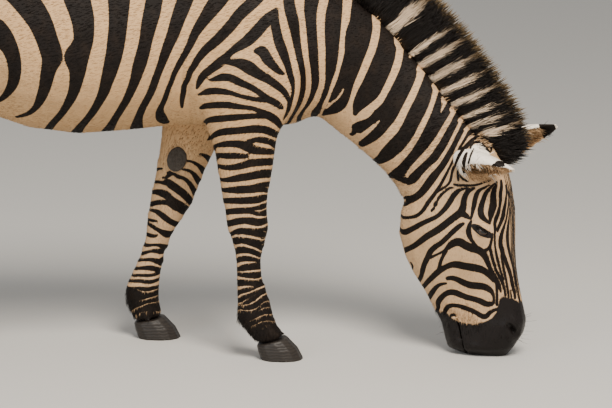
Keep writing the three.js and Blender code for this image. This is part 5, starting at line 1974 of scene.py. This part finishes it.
def set_hair(mesh, density, lie, length, width, rise):
    """Writes on a surface how thick, which way, how long, how wide and how steeply its tufts grow."""
    set_number(mesh, "hair_density", density)
    set_vectors(mesh, "lie", lie)
    set_number(mesh, "hair_length", length)
    set_number(mesh, "hair_width", width)
    set_number(mesh, "hair_rise", rise)


LIES = {"trunk": (-1.0, 0.0, -0.25), "leg": (-0.15, 0.0, -1.0), "head": (0.22, 0.0, -1.0)}
TRUNK_HAIR = 0.0115
LEG_HAIR = 0.0085
HEAD_HAIR = 0.0060
NECK_SHORTER = 0.0030
BELLY_LONGER = 0.005
FETLOCK_LONGER = 0.010
CORONET_LONGER = 0.007
FETLOCK_PLACE = (0.115, 0.035)
CORONET_PLACE = (0.070, 0.020)


def bump_at(height, place):
    """1 at a height and less away from it."""
    return np.exp(-((height - place[0]) / place[1]) ** 2)


head_part = ramp(before_neck_cut(straight), 0.02, 0.16)
leg_part = (1 - ramp(straight[:, 2], 0.50, 0.74)) * (straight[:, 0] < 0.45)
way = np.array(LIES["trunk"]) * (1 - head_part - leg_part)[:, None]
way += np.array(LIES["head"]) * head_part[:, None] + np.array(LIES["leg"]) * leg_part[:, None]
outward = normals_of(skin.data)
way = side_ways(straight, way)
way -= outward * (way * outward).sum(axis=1)[:, None]
set_vectors(skin.data, "outward", outward)
belly = (1 - ramp(straight[:, 2], 0.60, 0.70)) * (1 - leg_part) * (1 - head_part)
fetlock = bump_at(straight[:, 2], FETLOCK_PLACE) * (outward[:, 0] < -0.3)
neck_part = ramp(straight[:, 0], 0.20, 0.40) * (1 - head_part)
length = TRUNK_HAIR * (1 - leg_part - head_part) + LEG_HAIR * leg_part + HEAD_HAIR * head_part
length += -NECK_SHORTER * neck_part
length += BELLY_LONGER * belly + FETLOCK_LONGER * fetlock
width = 0.0006 + 0.075 * length
length += CORONET_LONGER * bump_at(straight[:, 2], CORONET_PLACE)
near_eye = ramp(distance_to(straight, EYE_PLACE), 0.026, 0.036)
bald = 1 - 0.8 * bare * head_part
set_hair(skin.data, bald, unit(way), length, width, 0.055 + 0.12 * belly + 0.3 * fetlock)
print("coat from", round(float(length.min()), 4), "to", round(float(length.max()), 4), "metres long")

# %% [markdown]
# Each part of the body is planted on its own, so that no piece grows too large. The masks fade into
# each other, and so the coat is equally thick where they meet.
# %% Plant the coat
TRUNK_DENSITY = 19000
LEG_DENSITY = 36000
HEAD_DENSITY = 33000
COAT_STRAY = 0.10
x, y, z = straight.T
rear = 1 - ramp(x, -0.56, -0.50)
middle = (1 - rear) * (1 - ramp(x, -0.14, -0.08))
front = (1 - rear - middle) * (1 - ramp(x, 0.26, 0.32))
neck = 1 - rear - middle - front
upper = ramp(z, 0.56, 0.60)
lower = (1 - upper) * (x < 0.45)
not_leg = np.where(x < 0.45, upper, 1.0)
on_head = ramp(before_neck_cut(straight), -0.02, 0.02)
COAT_PIECES = [
    ("coat_haunch", rear * upper, TRUNK_DENSITY),
    ("coat_barrel", middle * upper, TRUNK_DENSITY),
    ("coat_shoulder", front * upper, TRUNK_DENSITY),
    ("coat_neck", neck * not_leg * (1 - on_head), TRUNK_DENSITY),
    ("coat_head", on_head * near_eye * (x > 0.45), HEAD_DENSITY),
    ("coat_forelegs", lower * (x > -0.45), LEG_DENSITY),
    ("coat_hind_legs", lower * (x <= -0.45), LEG_DENSITY),
]
for number, (name, mask, density) in enumerate(COAT_PIECES):
    set_number(skin.data, "hair_density", mask * bald)
    planted(name, skin, short_spike, density, COAT_STRAY, number + 1, tuft_coat, follows=True)

# %% [markdown]
# A few special hairs follow: long pale hair in the ears, dark lashes on the upper lids, and sparse
# stiff whiskers round the lips and nostrils.
# %% Ear hair, lashes and whiskers
EAR_HAIR_DENSITY = 30000
FOREHEAD_HALF = 0.034
LASH_DENSITY = 900000
WHISKER_DENSITY = 2600
EAR_HAIR_SPAN = (0.08, 0.85)
way = np.zeros_like(straight)
inside = np.zeros(len(straight))
for side, length, on_ear, share, outward_share, _ in on_ears(straight):
    base, run, across, opens = ear_frame(side)
    here = on_ear & (facing_in(straight, side) | (outward_share > 0.2))
    here &= (share > EAR_HAIR_SPAN[0]) & (share < EAR_HAIR_SPAN[1])
    inside[here] = 1
    way[here] = run / length + 0.6 * opens
inside[np.abs(straight[:, 1]) < FOREHEAD_HALF] = 0
set_hair(skin.data, inside, unit(side_ways(straight, way) + 1e-6), 0.024, 0.0016, 0.5)
planted("ear_hair", skin, long_spike, EAR_HAIR_DENSITY, 0.25, 40, tuft_coat)
along, above = eye_plane(straight)
value = opening_value(straight)
near = distance_to(straight, EYE_PLACE) < LID_REACH
rim = near * (value > 1.0) * (value < 1.45) * (above > 0.001)
rim = rim * (np.abs(along) < 0.9 * OPENING_HALF_LENGTH)
side_sign = np.sign(straight[:, 1])
lash_way = np.column_stack([0.5 + 8 * along, 0.8 * side_sign, -0.75 + 0 * along])
set_number(skin.data, "pattern", FAR)
set_hair(skin.data, rim, unit(side_ways(straight, lash_way)), 0.011, 0.0007, 0.2)
planted("lashes", skin, long_spike, LASH_DENSITY, 0.18, 41, tuft_coat)
lips = (1 - ramp(straight[:, 2], 0.07, 0.13)) * (straight[:, 0] > 0.6) * (straight[:, 2] > 0.035)
whisker_way = np.column_stack([0 * along + 0.2, 0.5 * side_sign, 0 * along + 0.1])
set_hair(skin.data, lips, unit(side_ways(straight, whisker_way)), 0.030, 0.0007, 1.3)
planted("whiskers", skin, long_spike, WHISKER_DENSITY, 0.25, 42, tuft_coat)

# %% [markdown]
# The lower part of the tail's dock carries long dark hair that runs into the tuft.
# %% Hair on the dock
DOCK_HAIR_TOP = (0.88, 0.96)
DOCK_DENSITY = 30000
long_haired = on_dock(straight, DOCK_HAIR_TOP[1]) * (1 - ramp(straight[:, 2], *DOCK_HAIR_TOP))
down = np.tile((0.0, 0.0, -1.0), (len(straight), 1))
set_hair(skin.data, long_haired, down, 0.075, 0.0030, 0.12)
planted("dock_hair", skin, long_spike, DOCK_DENSITY, 0.10, 43, tuft_coat)
set_number(skin.data, "pattern", pattern)

# %% [markdown]
# The mane stands on a core. A row of sections gives the core: each has the place of its tip, of its
# root and half its thickness. A place in the mane is known by its section and its height.
# %% Places in the mane
MANE_SECTIONS = [
    (0.116, 1.236, 0.120, 1.204, 0.006), (0.212, 1.236, 0.182, 1.146, 0.014), (0.338, 1.208, 0.270, 1.092, 0.019),
    (0.482, 1.150, 0.388, 1.012, 0.021), (0.606, 1.068, 0.482, 0.938, 0.022), (0.712, 0.974, 0.562, 0.858, 0.022),
    (0.792, 0.880, 0.630, 0.785, 0.022), (0.854, 0.796, 0.688, 0.712, 0.022), (0.906, 0.714, 0.740, 0.648, 0.022),
    (0.936, 0.646, 0.782, 0.602, 0.022), (0.936, 0.600, 0.800, 0.584, 0.021), (0.926, 0.568, 0.818, 0.570, 0.017),
    (0.900, 0.552, 0.830, 0.560, 0.010),
]
MANE_STEPS = 10
mane_rows = rounded(np.array(MANE_SECTIONS), MANE_STEPS)
mane_tips = mane_rows[:, 0:2]
mane_roots = mane_rows[:, 2:4]
mane_spans = np.linalg.norm(mane_tips - mane_roots, axis=1)
print("the mane has", len(mane_rows), "sections, the longest", round(float(mane_spans.max()), 3), "metres")


def mane_station(points):
    """The number of the section nearest to each point, and its height from root to tip."""
    flat = points[:, [0, 2]]
    best = np.full(len(points), 1e9)
    station = np.zeros(len(points))
    height = np.zeros(len(points))
    for number in range(len(mane_rows)):
        run = mane_tips[number] - mane_roots[number]
        share = ((flat - mane_roots[number]) @ run) / (run @ run)
        gap = np.linalg.norm(flat - mane_roots[number] - np.clip(share, -0.2, 1.2)[:, None] * run, axis=1)
        nearer = gap < best
        best = np.where(nearer, gap, best)
        station = np.where(nearer, number, station)
        height = np.where(nearer, share, height)
    return station, height


def on_middle_plane(right, down):
    """Where the line of sight through a point of the view meets the animal's middle, straightened."""
    sight = line_of_sight(right, down)
    level = 0.0
    for _ in range(6):
        place = eye_point + sight * (level - eye_point[1]) / sight[1]
        along = straightened(place[None])[0]
        level = turned(np.array([[along[0], 0.0, along[2]]]))[0, 1]
    return along


# %% [markdown]
# The mane carries on the neck's bands. Behind its middle they are read from the neck under each root. Further forward
# each pale band is placed where it leaves the crest.
# %% Bands of the mane
MANE_PALE = [
    (397, 27, 5.0), (413, 52, 2.6), (423, 62, 3.4), (437.5, 77, 3.6), (447.5, 91, 3.0), (456.5, 104, 2.9),
    (463, 116, 2.2), (469, 127, 2.2), (484, 134, 3.4),
]
POINT_SIZE = 0.0028
PALE_SHARE = 0.95
mane_spots = np.array([on_middle_plane(right, down) for right, down, _ in MANE_PALE])
spot_stations, _ = mane_station(mane_spots)
spot_halves = np.array([half for _, _, half in MANE_PALE]) * POINT_SIZE * PALE_SHARE
root_steps = np.linalg.norm(np.diff(mane_roots, axis=0), axis=1)
root_reach = np.concatenate([[0], np.cumsum(root_steps)])
station_pattern = np.full(len(mane_rows), FAR)
for number, half in zip(spot_stations.astype(int), spot_halves):
    station_pattern = np.minimum(station_pattern, np.abs(root_reach - root_reach[number]) - half)
crest = np.column_stack([mane_roots[:, 0], 0 * mane_spans, mane_roots[:, 1]])
crest_pattern = pattern_at(crest)
rear_share = 1 - ramp(np.arange(len(mane_rows)), spot_stations[0] - 6, spot_stations[0] - 3)
station_pattern = np.where(rear_share > 0.5, crest_pattern, station_pattern)
print("pale bands leave the crest at sections", spot_stations)

# %% [markdown]
# Where the neck meets the mane the coat grows longer and turns up into it, so no line shows between.
# %% Hair along the crest
CREST_DENSITY = 45000
CREST_ENDS = (2, 0.78)
CREST_HALF_WIDTH = 0.07
CREST_HEIGHTS = ((0.05, 0.12), (0.25, 0.35))
rise = unit(np.insert(mane_tips - mane_roots, 1, 0, axis=1))
station, height = mane_station(straight)
inner = (station > CREST_ENDS[0]) & (station < CREST_ENDS[1] * len(mane_rows))
inner &= np.abs(straight[:, 1]) < CREST_HALF_WIDTH
crest_share = ramp(height, *CREST_HEIGHTS[0]) * (1 - ramp(height, *CREST_HEIGHTS[1])) * inner
set_hair(skin.data, crest_share, side_ways(straight, rise[station.astype(int)]), 0.016, 0.0019, 0.06)
planted("crest_hair", skin, long_spike, CREST_DENSITY, 0.10, 44, tuft_coat, follows=True)

# %% [markdown]
# Long hair is coloured by how far out each place of a lock reaches. A lock starts at its own height on the core and
# runs on from there. Pale locks turn brown further out, and all of them end in a lighter tip. On the mane that golden
# tip is partly the hair's own colour and partly painted glow of light shining through the tips.
# %% Material of long hair
MANE_PALE_HAIR = (0.76, 0.60, 0.43, 1)
REACH_OF_LOCK = 0.40
STRAND_GRAIN = 300
ROOT_EDGE = 0.002


def hair_material(name, browned, tip_colour):
    """Long hair: its colour by the pattern at the root, then brown, then the colour of the tips."""
    material, tree, shader = new_material(name, 0.5, 0.3)
    strands = noise_of(tree, STRAND_GRAIN, 3)
    edge = summed(tree, number_of(tree, "pattern"), strands, 0.004)
    dark_share = spread(tree, edge, -ROOT_EDGE, ROOT_EDGE)
    reach = summed(tree, number_of(tree, "height"), number_of(tree, "along"), REACH_OF_LOCK)
    reach = summed(tree, reach, strands, 0.20)
    pale = mixed(tree, spread(tree, reach, 0.40, 0.74), MANE_PALE_HAIR, browned)
    pale = mixed(tree, spread(tree, reach, 0.80, 0.96), pale, tip_colour)
    dark = mixed(tree, spread(tree, reach, 0.76, 0.98), DARK_HAIR, tip_colour)
    tree.links.new(mixed(tree, dark_share, pale, dark), shader.inputs["Base Color"])
    bumped(tree, shader, strands, 0.6, 0.001)
    return material


# The mane's golden tip colour is partly its own and partly painted glow of light shining through the hair.
mane_look = hair_material("mane_hair", (0.15, 0.095, 0.045, 1), (0.38, 0.25, 0.105, 1))
tail_look = hair_material("tail_hair", (0.03, 0.018, 0.01, 1), (0.03, 0.017, 0.009, 1))
print("materials so far:", len(bpy.data.materials))

# %% [markdown]
# The core is the solid mane, remade softly, drawn in at its sides and cut shorter at its top. The
# locks that grow on it reach out to the full height.
# %% Mane
MANE_CELL = 0.007
MANE_SMOOTHING = 6
MANE_SIDE_INSET = 0.006
MANE_SIDE_LEAST = 0.3
LOCK_LENGTH = 0.052
LOCK_SHARE = 0.85
LOCK_WIDTH = 0.0027
FULL_SPAN = 0.12
MANE_DARKER = 0.010
MANE_DENSITY = 82000
MANE_SPLITS = (0.26, 0.52)
SPLIT_FADE = 0.04
mane_core = remeshed("mane_core", ["mane"], MANE_CELL)
smooth(mane_core.data, MANE_SMOOTHING)
places = straightened(points_of(mane_core.data))
station, height = mane_station(places)
section = station.astype(int)
places -= rise[section] * (LOCK_LENGTH * LOCK_SHARE * ramp(height, 0.35, 1.0))[:, None]
sideways = places[:, 1]
inset = MANE_SIDE_INSET * ramp(height, 0.30, 0.60)
least = MANE_SIDE_LEAST * np.abs(sideways)
places[:, 1] = np.sign(sideways) * np.maximum(np.abs(sideways) - inset, least)
set_points(mane_core.data, turned(places))
smooth(mane_core.data, 3)
places = straightened(points_of(mane_core.data))
station, height = mane_station(places)
section = station.astype(int)
outward = normals_of(mane_core.data)
set_number(mane_core.data, "pattern", station_pattern[section] + MANE_DARKER * ramp(height, 0.30, 0.75))
set_number(mane_core.data, "height", height)
set_vectors(mane_core.data, "outward", outward)
set_hair(mane_core.data, 1, unit(side_ways(places, rise[section]) + 0.10 * outward),
         LOCK_LENGTH * np.minimum(1, mane_spans[section] / FULL_SPAN), LOCK_WIDTH, 0.10)
unwrapped(mane_core)
shaded_smooth(mane_core, mane_look)
after_rear, after_middle = [ramp(station / len(mane_rows), split, split + SPLIT_FADE)
                            for split in MANE_SPLITS]
MANE_PIECES = (("rear", 1 - after_rear), ("middle", after_rear - after_middle), ("front", after_middle))
for number, (part, mask) in enumerate(MANE_PIECES):
    name = "mane_locks_" + part
    set_number(mane_core.data, "hair_density", mask * ramp(height, 0.02, 0.08))
    planted(name, mane_core, long_spike, MANE_DENSITY, 0.14, 20 + number, mane_look)
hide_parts("mane")
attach(mane_core, "root")

# %% [markdown]
# The tail's tuft is made in the same way. Its locks hang down round a thin core.
# %% Tail
TAIL_CELL = 0.006
TAIL_SMOOTHING = 10
TAIL_INSET = 0.012
TAIL_LOCK = 0.11
TAIL_LOCK_SHARE = 0.8
TAIL_LOCK_WIDTH = 0.0055
TAIL_CUT = 0.25
TAIL_DENSITY = 26000
tail_core = remeshed("tail_core", ["tail_tuft"], TAIL_CELL)
smooth(tail_core.data, TAIL_SMOOTHING)
places = points_of(tail_core.data)
top = places[:, 2].max()
bottom = places[:, 2].min()
outward = normals_of(tail_core.data)
places -= outward * (TAIL_INSET * ramp(top - places[:, 2], 0.005, 0.080))[:, None]
places[:, 2] += TAIL_LOCK * TAIL_LOCK_SHARE * ramp(bottom + TAIL_CUT - places[:, 2], 0.0, TAIL_CUT)
set_points(tail_core.data, places)
outward = normals_of(tail_core.data)
down = np.tile((0.0, 0.0, -1.0), (len(places), 1))
hang = down - outward * (down * outward).sum(axis=1)[:, None]
tail_height = (top - places[:, 2]) / (top - bottom)
set_number(tail_core.data, "pattern", FAR)
set_number(tail_core.data, "height", tail_height)
set_vectors(tail_core.data, "outward", outward)
set_hair(tail_core.data, 1, unit(0.5 * hang + down), TAIL_LOCK * (0.6 + 0.4 * ramp(tail_height, 0.0, 0.3)),
         TAIL_LOCK_WIDTH, 0.02 + 0.06 * tail_height)
unwrapped(tail_core)
shaded_smooth(tail_core, tail_look)
planted("tail_locks", tail_core, long_spike, TAIL_DENSITY, 0.12, 30, tail_look)
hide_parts("tail_tuft")
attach(tail_core, "root")

# %% [markdown]
# The floor is plain and pale. A large soft lamp stands high in front on the left, a weak one fills
# the shadows, and the sky gives an even light.
# %% Light and floor
FLOOR_SIZE = 40
FLOOR_COLOUR = (0.55, 0.54, 0.51, 1)
SKY_COLOUR = (0.95, 0.94, 0.93, 1)
SKY_STRENGTH = 0.55
bpy.ops.mesh.primitive_plane_add(size=FLOOR_SIZE, location=(0, 0, 0))
floor = bpy.context.object
floor.name = "floor"
floor_look, _, floor_shader = new_material("floor", 0.8)
floor_shader.inputs["Base Color"].default_value = FLOOR_COLOUR
floor.data.materials.append(floor_look)


def lamp(name, place, aim, energy, size, colour):
    data = bpy.data.lights.new(name, "AREA")
    data.energy = energy
    data.size = size
    data.color = colour
    made = bpy.data.objects.new(name, data)
    made.location = place
    made.rotation_euler = (Vector(aim) - Vector(place)).to_track_quat("-Z", "Y").to_euler()
    bpy.context.scene.collection.objects.link(made)


lamp("key", (1.6, -3.6, 5.2), (0.3, 0, 0.6), 620, 2.4, (1.0, 0.92, 0.82))
lamp("fill", (-3.5, -5.0, 2.0), (0.1, 0, 0.6), 130, 4.0, (0.92, 0.96, 1.0))
world = bpy.data.worlds.new("world")
world.use_nodes = True
sky = world.node_tree.nodes["Background"].inputs
sky["Color"].default_value = SKY_COLOUR
sky["Strength"].default_value = SKY_STRENGTH
bpy.context.scene.world = world
print("lamps:", [light.name for light in bpy.data.lights])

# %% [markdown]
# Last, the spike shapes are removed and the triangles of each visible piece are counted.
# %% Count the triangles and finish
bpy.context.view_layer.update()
for shape in (short_spike, long_spike):
    bpy.data.meshes.remove(shape.data)
for piece in bpy.data.objects:
    if piece.type == "MESH" and not piece.hide_render:
        print(piece.name, sum(len(polygon.vertices) - 2 for polygon in piece.data.polygons), "triangles")
